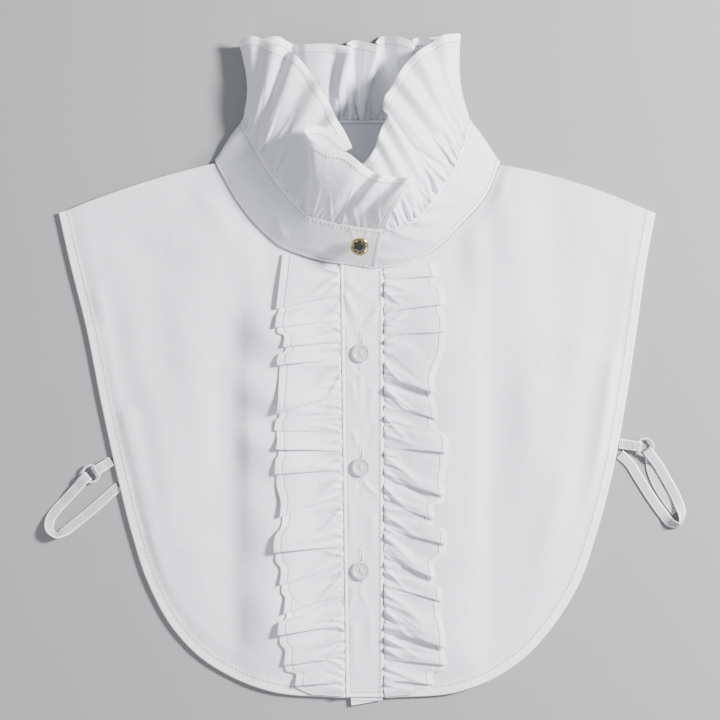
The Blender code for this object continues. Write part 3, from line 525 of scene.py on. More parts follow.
# stand band from the upper lap's end round the left, back and right to the under end:
# neck seam x, y, z and ruffle seam x, y, z
bandSections = (
    (8.5, 108.5, 3.7, 12.5, 131, 24), (-9.5, 111.5, 3.7, -6, 133.5, 24), (-23.5, 113.5, 3.4, -18, 136, 23.5),
    (-36, 117, 3.2, -30, 139.5, 22.5), (-48.5, 122, 3, -37, 145, 21), (-57, 129, 3, -44, 153, 19.5),
    (-66, 138, 3, -50.5, 161, 17.5), (-75, 150, 3, -58, 172, 15.5), (-82, 162, 3, -64, 183, 12.5),
    (-86.2, 169.5, 3, -69, 191.5, 9), (-87.6, 173.2, 1.8, -71, 197, 4.6), (-85.2, 172.6, 0.6, -67, 199, 1.2),
    (-68, 169.5, 0.6, -52, 198.5, 0.7), (-38, 167, 0.6, -30, 198, 0.6), (-3, 166, 0.6, -3, 198, 0.6),
    (33, 167, 0.6, 25, 198, 0.6), (62, 169, 0.6, 45, 198.5, 0.7), (79.8, 171.6, 0.6, 60, 199, 1.2),
    (82.2, 172.2, 1.8, 64.3, 197, 4.6), (80.8, 168.5, 3, 62.5, 190.5, 9), (76.5, 157, 3, 59.5, 180.5, 12.5),
    (70, 147, 3, 55, 169.5, 15.5), (59, 135.5, 3, 45, 154, 18.5), (48, 124, 2.9, 36, 142, 20.5),
    (34, 115.5, 2.4, 27, 135.5, 21.5), (14, 109.6, 2.2, 13.5, 132, 22.4), (-7, 112.4, 2.3, -4, 134.6, 22.4),
)


def bandEdge(at, ruffleSide=False, step=0.0):
    values = smoothRows(range(len(bandSections)), bandSections, at)
    neck, top = values[:, :3], values[:, 3:]
    along = unit(top - neck)
    return top + along * step if ruffleSide else neck - along * step


def neckLine(start, stop, count):
    edge = bandEdge(np.linspace(start, stop, count), step=bib["neckStep"])
    edge[:, 2] = 0.0
    return edge


def bibEdge(side, count, inset=0.0):
    edge = evenPoints([(row[1 + side], row[0], 0.0) for row in outline], count)
    run = unit(np.gradient(edge, axis=0))
    inward = inset * (1 - 2 * side)
    return edge + inward * np.stack((-run[:, 1], run[:, 0], run[:, 2]), axis=1)


def shoulderLine(neck, tip, count, bow):
    t = np.linspace(0, 1, count)[:, None]
    line = blend(neck, tip, t)
    line[:, 1] += bow * 4 * (t * (1 - t))[:, 0]
    return line


def fillEdges(neck, hem, shoulder, centre):
    # a grid between four edges
    u = np.linspace(0, 1, len(neck))[:, None, None]
    v = np.linspace(0, 1, len(shoulder))[None, :, None]
    corners = blend(blend(neck[0], neck[-1], u), blend(hem[0], hem[-1], u), v)
    return blend(neck[:, None], hem[:, None], v) + blend(shoulder[None], centre[None], u) - corners


# Front panels

# soft folds pressed into the panels: x, y, x, y, width, height
panelFolds = {
    "front_panel_right_side": (
        (-80, 92, -84, 10, 10, -0.5), (-82, 0, -80, -110, 10, -0.5), (-150, 70, -128, -40, 9, -0.8),
        (-122, 30, -112, -70, 10, 0.8), (-100, 120, -104, 40, 13, 0.5), (-135, 120, -96, 108, 7, -0.5),
        (-140, 20, -118, -80, 4, 0.7), (-98, -60, -92, -120, 8, 0.5), (-92, 150, -74, 120, 5, 0.5),
        (-160, 90, -150, 30, 5, 0.5),
    ),
    "front_panel_left_side": (
        (96, 150, 92, 60, 9, 0.7), (112, 148, 122, 60, 10, -0.5), (146, 100, 128, -20, 9, -0.8),
        (128, 60, 112, -60, 9, 0.8), (104, 30, 98, -90, 11, 0.5), (80, 166, 88, 120, 5, 0.6),
        (66, 128, 74, 60, 6, 0.5), (150, 50, 138, -30, 4, 0.6), (120, -20, 100, -100, 5, 0.4),
    ),
}

# how high panel and placket ruffle rise together at the ruffle's hem: y, right side, left side
ruffleRise = (
    (-149, 0, 0), (-138, 1.2, 1.4), (-122, 4.6, 4.6), (-98, 8.2, 5.2), (-76, 5, 4.8), (-48, 7, 5.4),
    (-20, 4.4, 5), (3, 7.8, 5.4), (16, 3.4, 5), (31, 8.6, 5.6), (49, 3.2, 5), (69, 8.8, 5.2), (90, 1.4, 3),
    (112, 0, 0),
)


def riseAt(x, y):
    rows = np.array(ruffleRise)
    tall = smoothRows(rows[:, 0], rows[:, 1:], y.ravel()).reshape(y.shape + (2,))
    far = np.abs(x)
    return (np.where(x < 0, tall[..., 0], tall[..., 1]) * softStep(far, 20.0, 54.0)
            * (1 - softStep(far, 54.5, 79.0)))


def panelRelief(x, y):
    # two sets of long soft folds, widest apart at the chest
    fold, second = (0.5 + 0.5 * np.cos((np.abs(x) - start + lean * y) * 2 * math.pi / apart)
                    for start, lean, apart in ((104.0, 0.10, 46.0), (66.0, -0.16, 29.0)))
    spread = np.exp(-((y - 20.0) / 75.0)**2)
    return (1.5 * fold + 0.7 * second) * spread * np.clip((np.abs(x) - 54.0) / 14.0, 0, 1)


def frontPanel(side):
    stations, body, hemColumns = 230, 96, 12
    node = f"front_panel_{sides[side]}_side"
    cut = frontCut[side]
    neck = neckLine(*cut["neck"], stations)
    foot = np.array((cut["foot"], bib["bottom"], 0.0))
    hem = bibEdge(side, stations)
    hem[-1] = foot
    inner = bibEdge(side, stations, inset=bib["hemWidth"])
    inner[0, 1] = hem[0, 1] + bib["shoulderHem"]
    inner[-1] = foot + np.array((0.0, bib["hemWidth"], 0.0))
    shoulder = shoulderLine(neck[0], inner[0], body, cut["bow"])
    centre = blend(neck[-1], inner[-1], np.linspace(0, 1, body)[:, None])
    grid = fillEdges(neck, inner, shoulder, centre)
    v = np.linspace(0, 1, hemColumns + 1)[1:][None, :, None]
    grid = np.concatenate((grid, blend(inner[:, None], hem[:, None], v)), axis=1)
    x, y = grid[..., 0], grid[..., 1]
    fromHem = hemDistances(grid)
    relief = 0.85 * panelRelief(x, y) + 2.5 * creaseField(x, y, panelFolds[node], crest=1.1)
    keep = softStep(fromHem, 2.0, 16.0) * softStep(np.abs(x), 54.0, 70.0)
    keep *= softStep(columnLengths(grid), 0.0, 8.0)
    puckers = puckerField(runLength(hem), fromHem, bib["hemWidth"], 40 + side)
    grid[..., 2] = (bib["frontHeight"] + np.maximum(relief + bib["lift"], -0.3) * keep + puckers
                    + riseAt(x, y))
    raised = bib["hemRise"] * softStep(bib["hemWidth"] + 0.35 - fromHem, 0.0, 0.6)
    raised *= softStep(fromHem, 0.0, 0.5)
    raised *= softStep(np.abs(x), bib["placketCover"], bib["placketCover"] + 1.0)
    seam = fromHem - bib["hemSeam"]
    shoulderRow = 3
    if side == 0:
        grid, seam, raised, fromHem = (values[::-1] for values in (grid, seam, raised, fromHem))
        shoulderRow = -4
    piece, upper, normals = clothShell("frontPanel" + sides[side].capitalize(), grid, bib["cloth"],
                                       cottonCloth, seam, raised)
    stitches = []
    sewAt(stitches, upper, normals, fromHem, bib["hemSeam"])
    sewLine(stitches, upper[shoulderRow, 4:-14], normals[shoulderRow, 4:-14])
    sewn = dress(piece, node, stitches)


# Back panel

back = {"height": 0.5, "cloth": 0.8, "inset": 0.7, "hemSeam": 4.5, "neck": (10.9, 17.1),
        "tallest": 0.4}  # its folds stay under the front's cloth

# soft folds of the back: x, y, x, y, width, height
backFolds = (
    (-120, 90, -100, -40, 12, 0.9), (-60, 120, -70, 20, 11, 0.7), (0, 140, 6, 40, 12, 0.8),
    (50, 100, 40, -30, 12, 0.9), (110, 80, 96, -50, 12, 0.8), (-30, 20, -36, -110, 12, 0.7),
    (80, 0, 60, -110, 11, 0.7), (-90, -30, -70, -110, 10, 0.6), (-20, 60, 20, 30, 10, -0.6),
)


def backPanel():
    stations, body = 150, 46
    left, right = (bibEdge(side, stations // 2, inset=back["inset"]) for side in (0, 1))
    hem = np.concatenate((left, right[::-1]))
    neck = neckLine(*back["neck"], stations)
    shoulders = [shoulderLine(neck[-side], hem[-side], body, frontCut[side]["bow"]) for side in (0, 1)]
    grid = fillEdges(neck, hem, *shoulders)
    fromHem = hemDistances(grid)
    folds = np.maximum(creaseField(grid[..., 0], grid[..., 1], backFolds, crest=1.1), 0.0)
    keep = softStep(fromHem, 3.0, 16.0) * softStep(columnLengths(grid), 2.0, 12.0)
    grid[..., 2] = back["height"] + back["tallest"] * np.tanh(folds / back["tallest"]) * keep
    piece = clothShell("backPanel", grid, back["cloth"], cottonCloth, fromHem - back["hemSeam"])[0]
    dress(piece, "back_panel")


# Stand band

band = {"cloth": 0.95, "ridge": 0.32, "ridgeWidth": 1.5, "seamLine": 2.3, "crown": 0.7, "tall": 26.0}

# creases of the band: section, share of its height, section, share, width, height
bandCreases = (
    (24.6, 0.9, 23.2, 0.25, 2, 0.9), (24.1, 0.95, 22.9, 0.45, 1.6, -0.7), (23.6, 0.95, 22.4, 0.35, 2, 0.9),
    (23.1, 0.98, 22.3, 0.55, 1.4, -0.6), (22.6, 0.95, 21.7, 0.45, 1.8, 0.6),
    (25.2, 0.3, 23.9, 0.08, 2.2, 0.7), (25.4, 0.8, 24.5, 0.5, 2, 0.5), (21.6, 0.9, 20.9, 0.4, 1.8, 0.5),
    (3, 0.95, 4.4, 0.5, 2.4, 0.6), (1.8, 0.9, 2.8, 0.45, 2.2, 0.5), (4.2, 0.3, 5.6, 0.6, 3, 0.6),
    (2.2, 0.25, 3.6, 0.2, 2, 0.4), (6, 0.9, 6.6, 0.4, 2.5, 0.5), (7.6, 0.8, 8.2, 0.3, 2.5, 0.5),
    (1, 0.95, 0.8, 0.62, 1.3, 0.6), (0.45, 0.95, 0.55, 0.62, 1.1, 0.5), (14, 0.42, 16, 0.45, 1.4, 0.25),
    (12, 0.5, 14, 0.42, 1.4, 0.25), (9.2, 0.85, 9.6, 0.4, 2, 0.4), (19, 0.85, 18.8, 0.35, 2, 0.4),
)


def standBand():
    stations, columns = 470, 30
    at = np.linspace(0, len(bandSections) - 1, stations)
    v = np.linspace(0, 1, columns)[None, :]
    grid = blend(bandEdge(at)[:, None], bandEdge(at, ruffleSide=True)[:, None], v[..., None])
    across = columnLengths(grid)
    fromTop = across[:, -1:] - across
    run = runLength(grid[:, columns // 2])
    along = run[:, None] * np.ones_like(v)
    onFloor = softStep(grid[..., 2], 1.2, 3.5)  # what lies on the table stays flatter
    middle = band["crown"] * np.sin(math.pi * v) * onFloor
    placed = placeCreases(bandCreases, at, run, band["tall"])
    creases = creaseField(along, v * band["tall"] + 0 * along, placed) * (0.25 + 0.75 * onFloor)
    puckers = (puckerField(run, across, band["seamLine"], 60, 0.14)
               + puckerField(run, fromTop, band["seamLine"], 61, 0.22))
    keep = softStep(across, 0.0, 3.0) * softStep(fromTop, 0.0, 3.0)
    grid = grid - gridNormals(grid) * (middle + (creases + puckers) * keep)[..., None]
    endRun = np.minimum(along, run[-1] - along)
    edge = np.minimum(np.minimum(across, fromTop), endRun)
    ridge = band["ridge"] * (softStep(edge, 0.0, 0.5)
                             - softStep(edge, band["ridgeWidth"], band["ridgeWidth"] + 0.6))
    seam = edge - band["seamLine"]
    grid, seam, ridge, across, fromTop, endRun = (
        values[::-1] for values in (grid, seam, ridge, across, fromTop, endRun))
    piece, upper, normals = clothShell("standBand", grid, band["cloth"], cottonCloth, seam, ridge)
    stitches = []
    for distance in (across, fromTop):
        sewAt(stitches, upper, normals, distance, band["seamLine"], trim=slice(4, -4))
    lapRow = stations - 40 + int(np.argmin(np.abs(endRun[-40:, 0] - band["seamLine"])))
    sewLine(stitches, upper[lapRow, 3:-3], normals[lapRow, 3:-3])
    sewn = dress(piece, "stand_band", stitches)


# Collar ruffle

ruffle = {"gathers": 46, "gatherDepth": 0.7, "lead": 14.0, "opening": 1.9, "cloth": 0.5, "tall": 45.0,
          "seamGap": 0.3, "hemWidth": 4.8, "hemRise": 0.28, "fineGathers": 190}

# hem of the ruffle: section of the band that it hangs from, x, y, z, and the bow between
ruffleHem = (
    (0, 31, 159, 42, 9), (0.45, 27.5, 160, 46.5, 8), (0.85, 20, 161, 40.5, 5), (1.25, 12.5, 161.5, 46, 7),
    (1.7, 6, 164, 40, 4), (2.1, -0.5, 168.5, 46.5, 6), (2.55, -9, 175, 46, 6), (3, -20, 177.5, 45.5, 5),
    (3.35, -29.5, 183, 44.5, 5), (3.6, -34, 188.5, 41.5, 4), (3.9, -26.5, 191.5, 38, 3),
    (4.2, -17, 188, 36, 3), (4.5, -8, 180, 33.5, 3), (4.75, -6, 179.5, 30.5, 3), (5, -10, 188, 29.5, 4),
    (5.4, -15, 196, 31, 5), (5.9, -19, 205, 27.5, 4), (6.4, -24.5, 214, 30, 5), (6.9, -30.5, 224, 25, 4),
    (7.4, -39, 234, 26, 5), (7.9, -43.5, 237, 19.5, 3), (8.4, -51, 240, 22, 5), (8.9, -60, 245, 15.5, 3),
    (9.4, -67, 246.5, 14, 3), (9.8, -73, 244.5, 9, 1), (10.1, -72, 243, 4.5, 0), (10.9, -66, 244, 1.2, 0),
    (11.6, -59, 246, 6.5, 1), (12.1, -50, 247, 8.5, 2), (12.5, -42, 243.5, 2, 0), (13, -33, 242.5, 8, 3),
    (13.3, -19, 242.5, 11, 3), (13.55, -6, 240.5, 12.5, 4), (13.75, -9, 243, 6, 1),
    (13.95, -4, 245.5, 2.5, 0), (14.2, 10, 242, 10, 3), (14.4, 8.5, 244.5, 4, 1), (14.6, 12.5, 248, 2.5, 0),
    (14.9, 22.5, 247, 8.5, 3), (15.15, 31.5, 243.5, 11, 3), (15.35, 30, 245.5, 5, 1),
    (15.6, 33.5, 247, 2.5, 0), (16, 41, 246.5, 8, 2), (16.6, 49.5, 248, 2, 0), (17.2, 56, 248.5, 3, 0),
    (17.9, 58.5, 248.5, 6.5, 0), (18.4, 56.5, 248.5, 11, 2), (18.8, 48.5, 247, 16.5, 3),
    (19.3, 40.5, 242, 15.5, 4), (19.8, 32.5, 236, 22, 5), (20.2, 26, 229.5, 21, 4),
    (20.6, 21.5, 222.5, 27, 6), (21, 17.5, 215, 25.5, 4), (21.4, 13.5, 209, 30.5, 5),
    (21.8, 12.5, 202, 28.5, 4), (22.2, 15.5, 198, 33, 5), (22.6, 12, 191.5, 31, 4), (23.1, 10, 186, 35, 5),
    (23.7, 8, 180, 33, 4), (24.4, 5, 174, 35, 5), (25.2, 0, 169, 33.5, 4), (26, -6, 166, 33, 3),
)

# how strong the small gathers are round the neck: band section, share
gatherStrength = (
    (0, 0.35), (2.4, 0.35), (3.4, 0.8), (9, 0.9), (11, 0.5), (12.6, 1.8), (15.6, 1.9), (16.4, 1), (18, 0.6),
    (19.5, 1.5), (26, 1.5),
)

# creases listed for the ruffle: section, share of its width, section, share, width, height
ruffleCreases = (
    (2, 0, 2.5, 0.42, 0.75, 0.9), (1.42, 0, 2.1, 0.92, 0.8, 1), (0.78, 0, 1.63, 0.5, 0.75, 0.85),
    (0.2, 0.15, 0.95, 0.75, 0.75, 0.75), (1.1, 0, 1.5, 0.3, 0.7, -0.7), (2.9, 0, 2.9, 0.5, 0.9, 0.8),
    (3.6, 0, 3.35, 0.6, 1.6, -0.9), (4.3, 0, 3.8, 0.55, 1.4, 0.9), (4.9, 0, 4.7, 0.4, 1.2, 0.9),
    (5.6, 0, 5.3, 0.85, 2.2, 1.2), (6.3, 0, 6, 0.4, 1.3, -0.8), (7.3, 0, 7.9, 0.9, 2.4, 1.4),
    (8.4, 0, 8.5, 0.5, 1.3, 0.9), (9.1, 0, 9.3, 0.75, 1.8, -0.9), (11.4, 0.02, 11.2, 0.7, 1.5, -0.6),
    (12.4, 0.02, 12.5, 0.8, 1.3, 0.7), (13.2, 0, 13.1, 0.55, 1.2, 1), (13.6, 0, 13.7, 0.4, 1.1, 1),
    (13.9, 0, 13.8, 0.5, 1.1, -0.9), (14.3, 0, 14.3, 0.55, 1.1, 1.1), (14.7, 0, 14.6, 0.4, 1.1, -0.9),
    (15.2, 0, 15.1, 0.5, 1.2, 1), (16.2, 0.02, 16.1, 0.5, 1.3, -0.7), (13.36, 1.1, 13.36, -0.6, 3.2, 3.2),
    (13.53, 1.1, 13.54, -0.4, 2.2, -2.4), (14.06, 1.1, 14.06, -0.5, 2.2, -1.4), (18.9, 0, 19.2, 0.9, 2, 1.2),
    (19.8, 0, 19.7, 0.85, 1.6, -1), (20.5, 0, 20.3, 0.85, 1.9, 1.3), (21.2, 0, 21.3, 0.6, 1.4, -0.9),
    (21.8, 0, 21.6, 0.9, 2, 1.3), (22.5, 0, 22.7, 0.5, 1.3, 0.9), (23.1, 0, 23, 0.85, 1.9, 1.2),
    (23.8, 0, 23.9, 0.5, 1.3, -0.9), (24.5, 0, 24.3, 0.8, 1.6, 1),
)


def strengthAt(at):
    return np.interp(at, *zip(*gatherStrength))


def calmLine(points, reach):
    # the line of points averaged over a stretch on each side of each point
    first, last = (np.repeat(end, reach, axis=0) for end in (points[:1], points[-1:]))
    total = np.cumsum(np.concatenate((np.zeros((1, 3)), first, points, last)), axis=0)
    return (total[2 * reach + 1:] - total[:-2 * reach - 1]) / (2 * reach + 1)


def ruffleGrid(stations, columns):
    rows = np.array(ruffleHem)
    fine = np.linspace(0, len(bandSections) - 1, 4000)
    seamRun = runLength(bandEdge(fine, ruffleSide=True))
    hemRun = runLength(smoothRows(rows[:, 0], rows[:, 1:], fine))
    pace = seamRun / seamRun[-1] + 1.3 * hemRun / hemRun[-1]
    at = np.interp(np.linspace(0, pace[-1], stations), pace, fine)
    sideFold = np.exp(-((at - 10.0) / 0.9)**2) + np.exp(-((at - 18.0) / 0.9)**2)
    seam = bandEdge(at, ruffleSide=True, step=(ruffle["seamGap"] + 0.4 * sideFold)[:, None])
    rise = bandEdge(at, ruffleSide=True, step=1.0) - bandEdge(at, ruffleSide=True)
    hem = smoothRows(rows[:, 0], rows[:, 1:], at)
    hem, bow = hem[:, :3], hem[:, 3:]
    calm = calmLine(hem, stations // 24)
    share = runLength(seam) / runLength(seam)[-1]
    v = np.linspace(0, 1, columns)[None, :, None]
    grid = blend(seam[:, None], calm[:, None], v) + (hem - calm)[:, None] * v**ruffle["opening"]
    grid = grid + rise[:, None] * ruffle["lead"] * v * (1 - v)**2
    v = v[0, :, 0]
    grid[..., 2] += bow * 4 * v * (1 - v)
    out = gridNormals(grid)
    beat = share * ruffle["gathers"] + 0.35 * np.sin(share * 41.0) + 0.25 * np.sin(share * 97.0)
    pleat = 0.5 - 0.5 * np.cos(2 * math.pi * beat)
    depth = 2.0 * ruffle["gatherDepth"] * (0.75 + 0.25 * np.sin(share * 63.0)) * strengthAt(at)
    facing = out[..., 2:] * np.clip(2.2 * np.abs(out[..., 2:]) - 0.8, 0, 1)
    fade = (1 - v)**3.2
    return grid + out * facing * (depth * pleat)[:, None, None] * fade[None, :, None], at


def hemmedRuffle(name, grid, fromHem, seam, cut, bothSides=False):
    # the ruffle's wall with its narrow raised hem and the row of stitches along it
    raised = cut["hemRise"] * softStep(cut["hemWidth"] + 0.4 - fromHem, 0.0, 0.7) * softStep(fromHem, 0.0, 0.5)
    piece, upper, normals = clothShell(name, grid, cut["cloth"], ruffleCloth, seam, raised)
    stitches = []
    sewAt(stitches, upper, normals, fromHem, cut["hemWidth"], **hemThread)
    if bothSides:
        lower = upper - normals * (cut["cloth"] + raised)[..., None]
        sewAt(stitches, lower, -normals, fromHem, cut["hemWidth"], **hemThread)
    return piece, stitches


def collarRuffle():
    grid, at = ruffleGrid(stations=1000, columns=46)
    across = columnLengths(grid)
    fromHem = across[:, -1:] - across
    seamRun = runLength(grid[:, 6])
    run = seamRun[:, None] + 0 * across
    placed = placeCreases(ruffleCreases, at, seamRun, ruffle["tall"])
    small = fineGathers(seamRun[-1], ruffle["fineGathers"], 5, 26.0)
    depth = across / np.maximum(across[:, -1:], 1e-6) * ruffle["tall"]
    field = creaseField(run, depth, placed) + creaseField(run, depth, small) * strengthAt(at)[:, None]
    field = field * softStep(across, -0.5, 1.0) * softStep(fromHem, 0.0, 7.0)
    field += puckerField(seamRun, fromHem, ruffle["hemWidth"], 71, 0.2)
    grid = grid - gridNormals(grid) * field[..., None]
    grid[..., 2] = np.maximum(grid[..., 2], 0.3)
    seam = np.minimum(fromHem, np.minimum(run, run[-1, 0] - run) + 2.0) - ruffle["hemWidth"]
    piece, stitches = hemmedRuffle("collarRuffle", grid[::-1], fromHem[::-1], seam[::-1], ruffle, True)
    sewn = dress(piece, "collar_ruffle", stitches)


# Corded seam between ruffle and band on the wearer's left front

cord = {"radius": 0.8, "ring": 8, "start": 18.9, "stop": 25.3, "lift": 0.85}


def seamCord():
    at = np.linspace(cord["start"], cord["stop"], 150)
    line = bandEdge(at, ruffleSide=True, step=0.1)
    out = unit(np.cross(np.gradient(line, axis=0), line - bandEdge(at)))
    line = line + out * cord["lift"] * np.sign(out[:, 2:])
    side = unit(np.cross(unit(np.gradient(line, axis=0)), np.array((0.0, 0.0, 1.0))))
    width = np.full(len(line), cord["radius"])
    width[:3] *= (0.3, 0.75, 0.95)
    width[-3:] *= (0.95, 0.75, 0.3)
    turn = np.arange(cord["ring"]) * 2 * math.pi / cord["ring"]
    piece = sweepMesh("ruffleSeamCord", line, side, width[:, None] * np.cos(turn),
                      width[:, None] * np.sin(turn), turn * cord["radius"], cottonCloth)


# Placket ruffles

jabot = {"low": 3.15, "gathers": 27, "gatherDepth": 0.7, "puff": 1.2, "press": 0.72, "uneven": 0.3,
         "hemDrop": 0.42, "cloth": 0.45, "hemWidth": 4.2, "hemRise": 0.25, "fineGathers": 92, "seamGap": 0.3}

# folds, top to bottom: y at the seam, y at the hem, the hem's x, the height of the fold's edge
jabotRightSide = (
    (95, 86, -51, 6), (79, 73.5, -51.5, 4.5), (65.5, 62, -47, 6.5), (55.5, 51, -50.5, 5.5),
    (35, 22.5, -50.5, 7), (12, 12, -52, 4), (0.5, 1, -51, 5.5), (-11, -14, -52, 5), (-25, -39.5, -49, 7),
    (-56, -60.5, -52.5, 6), (-69, -80, -49, 6.5), (-84.5, -97, -46.5, 5), (-103, -110, -50, 6.5),
    (-123, -128.5, -46.5, 5.5), (-138, -140.5, -40, 4.5),
)
jabotLeftSide = (
    (103, 104.5, 45.5, 4.5), (84, 87.5, 49.5, 6), (69.5, 71, 50.5, 5.5), (45.5, 34, 44, 7),
    (30, 18.5, 45, 4.5), (3, -1, 51.5, 6.5), (-16, -27, 49.5, 5), (-30.5, -41, 43.5, 7),
    (-46, -56, 50.5, 4.5), (-63, -76.5, 44, 6.5), (-79.5, -90, 48, 5), (-105, -117.5, 50, 6.5),
    (-124, -128, 50.5, 5.5), (-136, -140, 43, 4.5),
)

# the same at both ends, without the height
jabotEnds = (
    ((110.0, 117.4, -47.5), (-147.5, -146.0, -30.0)),
    ((108.0, 113.0, 43.5), (-147.5, -146.0, 30.0)),
)

placketSet = {"leftTop": -13.2, "leftBottom": -9.8, "right": 13.0, "height": 3.15, "cloth": 0.9,
              "ridge": 0.45, "ridgeWidth": 1.9, "seamLine": 2.65, "footLine": 2.4}


def placketLeft(y):
    share = (y - bib["bottom"]) / (111.0 - bib["bottom"])
    return blend(placketSet["leftBottom"], placketSet["leftTop"], share)


def jabotRows(side):
    # a ridge, a tuck under it and a soft swell between folds: y at the seam and hem, hem's x, height
    folds, (top, bottom) = (jabotRightSide, jabotLeftSide)[side], jabotEnds[side]
    inward = 1.5 * (1 - 2 * side)
    places = [top, *folds, bottom]
    rows = [(*top, 1.0)]
    for i, (seamY, hemY, hemX, height) in enumerate(folds):
        above, below = places[i], places[i + 2]
        height *= 0.85 + jabot["uneven"] * math.sin(2.3 * i + side)
        swell = 0.5 + 0.25 * math.sin(1.7 * i + 2 * side)
        lead = min(9.0, 0.55 * (above[1] - hemY))
        tuck = min(4.5, 0.3 * (hemY - below[1]), 0.45 * lead)
        if i:
            rows.append((blend(seamY, above[0], 0.42), hemY + lead, hemX + 0.4 * inward, swell * height))
        rows.append((seamY, hemY, hemX, height))
        rows.append((blend(seamY, below[0], 0.22), hemY + tuck, hemX + inward, 0.0))
        rows.append((blend(seamY, below[0], 0.40), blend(hemY, below[1], 0.25), hemX + 0.7 * inward, 0.4))
    rows.append((*bottom, 0.8))
    return np.array(rows)


def jabotGrid(side, stations, columns):
    rows = jabotRows(side)
    keys = np.arange(len(rows))
    fine = np.linspace(0, keys[-1], 3000)
    path = smoothRows(keys, rows, fine)
    pace = runLength(path[:, 1:]) + 0.6 * runLength(path[:, :1])
    at = np.interp(np.linspace(0, pace[-1], stations), pace, fine)
    seamY, hemY, hemX, height = smoothRows(keys, rows, at).T
    height = np.maximum(height, 0.0) * jabot["press"]
    right = np.full(stations, placketSet["right"] + jabot["seamGap"])
    seamX = right if side else placketLeft(seamY) - jabot["seamGap"]
    seam, hem = (np.stack((x, y, np.zeros(stations)), axis=1)[:, None]
                 for x, y in ((seamX, seamY), (hemX, hemY)))
    v = np.linspace(0, 1, columns)
    grid = blend(seam, hem, v[None, :, None])
    share = (seamY[0] - seamY) / (seamY[0] - seamY[-1])
    beat = share * jabot["gathers"] + 0.3 * np.sin(share * 37.0) + 0.2 * np.sin(share * 71.0)
    pleat = 0.5 - 0.5 * np.cos(2 * math.pi * beat)
    gather = (2.0 * jabot["gatherDepth"] * pleat)[:, None] * (1 - v)**1.5
    puff = jabot["puff"] * np.maximum(np.sin(math.pi * v), 0)**0.8
    endsFlat = np.minimum(1.0, 14.0 * np.minimum(share, 1 - share))[:, None]
    foot = 0.4 * np.clip((bib["bottom"] + 14.0 - grid[..., 1]) / 5.0, 0, 1)
    grid[..., 2] = (jabot["low"] + height[:, None] * v**0.75 * (1 - jabot["hemDrop"] * v**3) + gather
                    + riseAt(grid[..., 0], grid[..., 1]) + puff * endsFlat + foot)
    return grid, seamY


# creases across the folds: y at the start, mm from the seam, y and mm at the end, width, height
jabotCreases = {
    "placket_ruffle_right_side": (
        (104, 1, 96, 17, 1.4, 1), (100, 0, 93, 11, 1.1, 0.9), (90, 0, 84, 26, 1.5, -0.7),
        (86, 0, 76, 19, 1.2, 0.9), (74, 0, 70, 22, 1.4, 0.8), (60, 1, 52, 27, 1.3, -0.7),
        (50, 0, 40, 24, 2, 1), (45, 0, 30, 12, 1.3, 0.9), (26, 0, 30, 16, 1.2, 0.8),
        (20, 0, 14, 24, 1.5, -0.7), (6, 0, 4, 22, 1.3, 0.8), (-5, 0, -8, 19, 1.2, 0.8),
        (-16, 0, -26, 25, 1.5, 0.9), (-22, 1, -36, 22, 1.3, -0.7), (-34, 0, -46, 14, 1.2, 0.8),
        (-40, 0, -50, 28, 1.6, 0.9), (-62, 0, -68, 24, 1.4, 0.8), (-74, 0, -86, 18, 1.3, 0.9),
        (-90, 0, -99, 25, 1.5, -0.7), (-96, 0, -104, 13, 1.2, 0.9), (-110, 0, -118, 24, 1.5, 0.9),
        (-116, 0, -124, 16, 1.2, 0.8), (-130, 0, -134, 20, 1.3, 0.8), (-142, 2, -141, 18, 1.2, 0.7),
    ),
    "placket_ruffle_left_side": (
        (100, 0, 92, 18, 1.4, 0.9), (95, 0, 86, 11, 1.1, 0.9), (78, 0, 76, 20, 1.3, 0.8),
        (74, 0, 81, 15, 1.2, 0.9), (64, 0, 58, 22, 1.6, 0.8), (56, 0, 50, 26, 1.7, -0.8),
        (52, 0, 44, 12, 1.2, 0.9), (38, 0, 26, 17, 1.4, 0.9), (24, 0, 18, 24, 1.5, -0.7),
        (20, 0, 9, 13, 1.2, 0.9), (10, 0, 5, 22, 1.3, 0.8), (-4, 0, -12, 20, 1.4, 0.9),
        (-10, 0, -22, 27, 1.6, -0.7), (-22, 0, -31, 15, 1.2, 0.9), (-38, 0, -48, 24, 1.5, 0.9),
        (-52, 0, -60, 20, 1.3, 0.8), (-58, 0, -71, 25, 1.5, -0.7), (-70, 0, -80, 14, 1.2, 0.9),
        (-86, 0, -94, 24, 1.5, 0.9), (-94, 0, -108, 18, 1.6, 1), (-98, 0, -108, 26, 1.5, -0.7),
        (-112, 0, -120, 20, 1.4, 0.9), (-118, 0, -124, 12, 1.2, 0.9), (-130, 0, -136, 24, 1.4, 0.8),
        (-140, 0, -143, 16, 1.2, 0.8),
    ),
}


def placketRuffle(side):
    grid, seamY = jabotGrid(side, stations=860, columns=44)
    node = f"placket_ruffle_{sides[side]}_side"
    across = columnLengths(grid)
    fromHem = across[:, -1:] - across
    run = (seamY[0] - seamY)[:, None] + 0 * across
    small = fineGathers(run[-1, 0], jabot["fineGathers"], 11 + side, 24.0, 0.3)
    byHand = [(seamY[0] - y0, a0, seamY[0] - y1, a1, 1.25 * width, 1.8 * height)
              for y0, a0, y1, a1, width, height in jabotCreases[node]]
    field = creaseField(run, across, small + byHand)
    field = field * softStep(across, -0.3, 1.0) * softStep(fromHem, 0.0, 7.0)
    field += puckerField(runLength(grid[:, -1]), fromHem, jabot["hemWidth"], 81 + side, 0.18)
    grid[..., 2] += np.maximum(field, -0.7)
    seam = fromHem - jabot["hemWidth"]
    if side:
        grid, seam, fromHem = (values[::-1] for values in (grid, seam, fromHem))
    piece, stitches = hemmedRuffle("placketRuffle" + sides[side].capitalize(), grid, fromHem, seam, jabot)
    sewn = dress(piece, node, stitches)


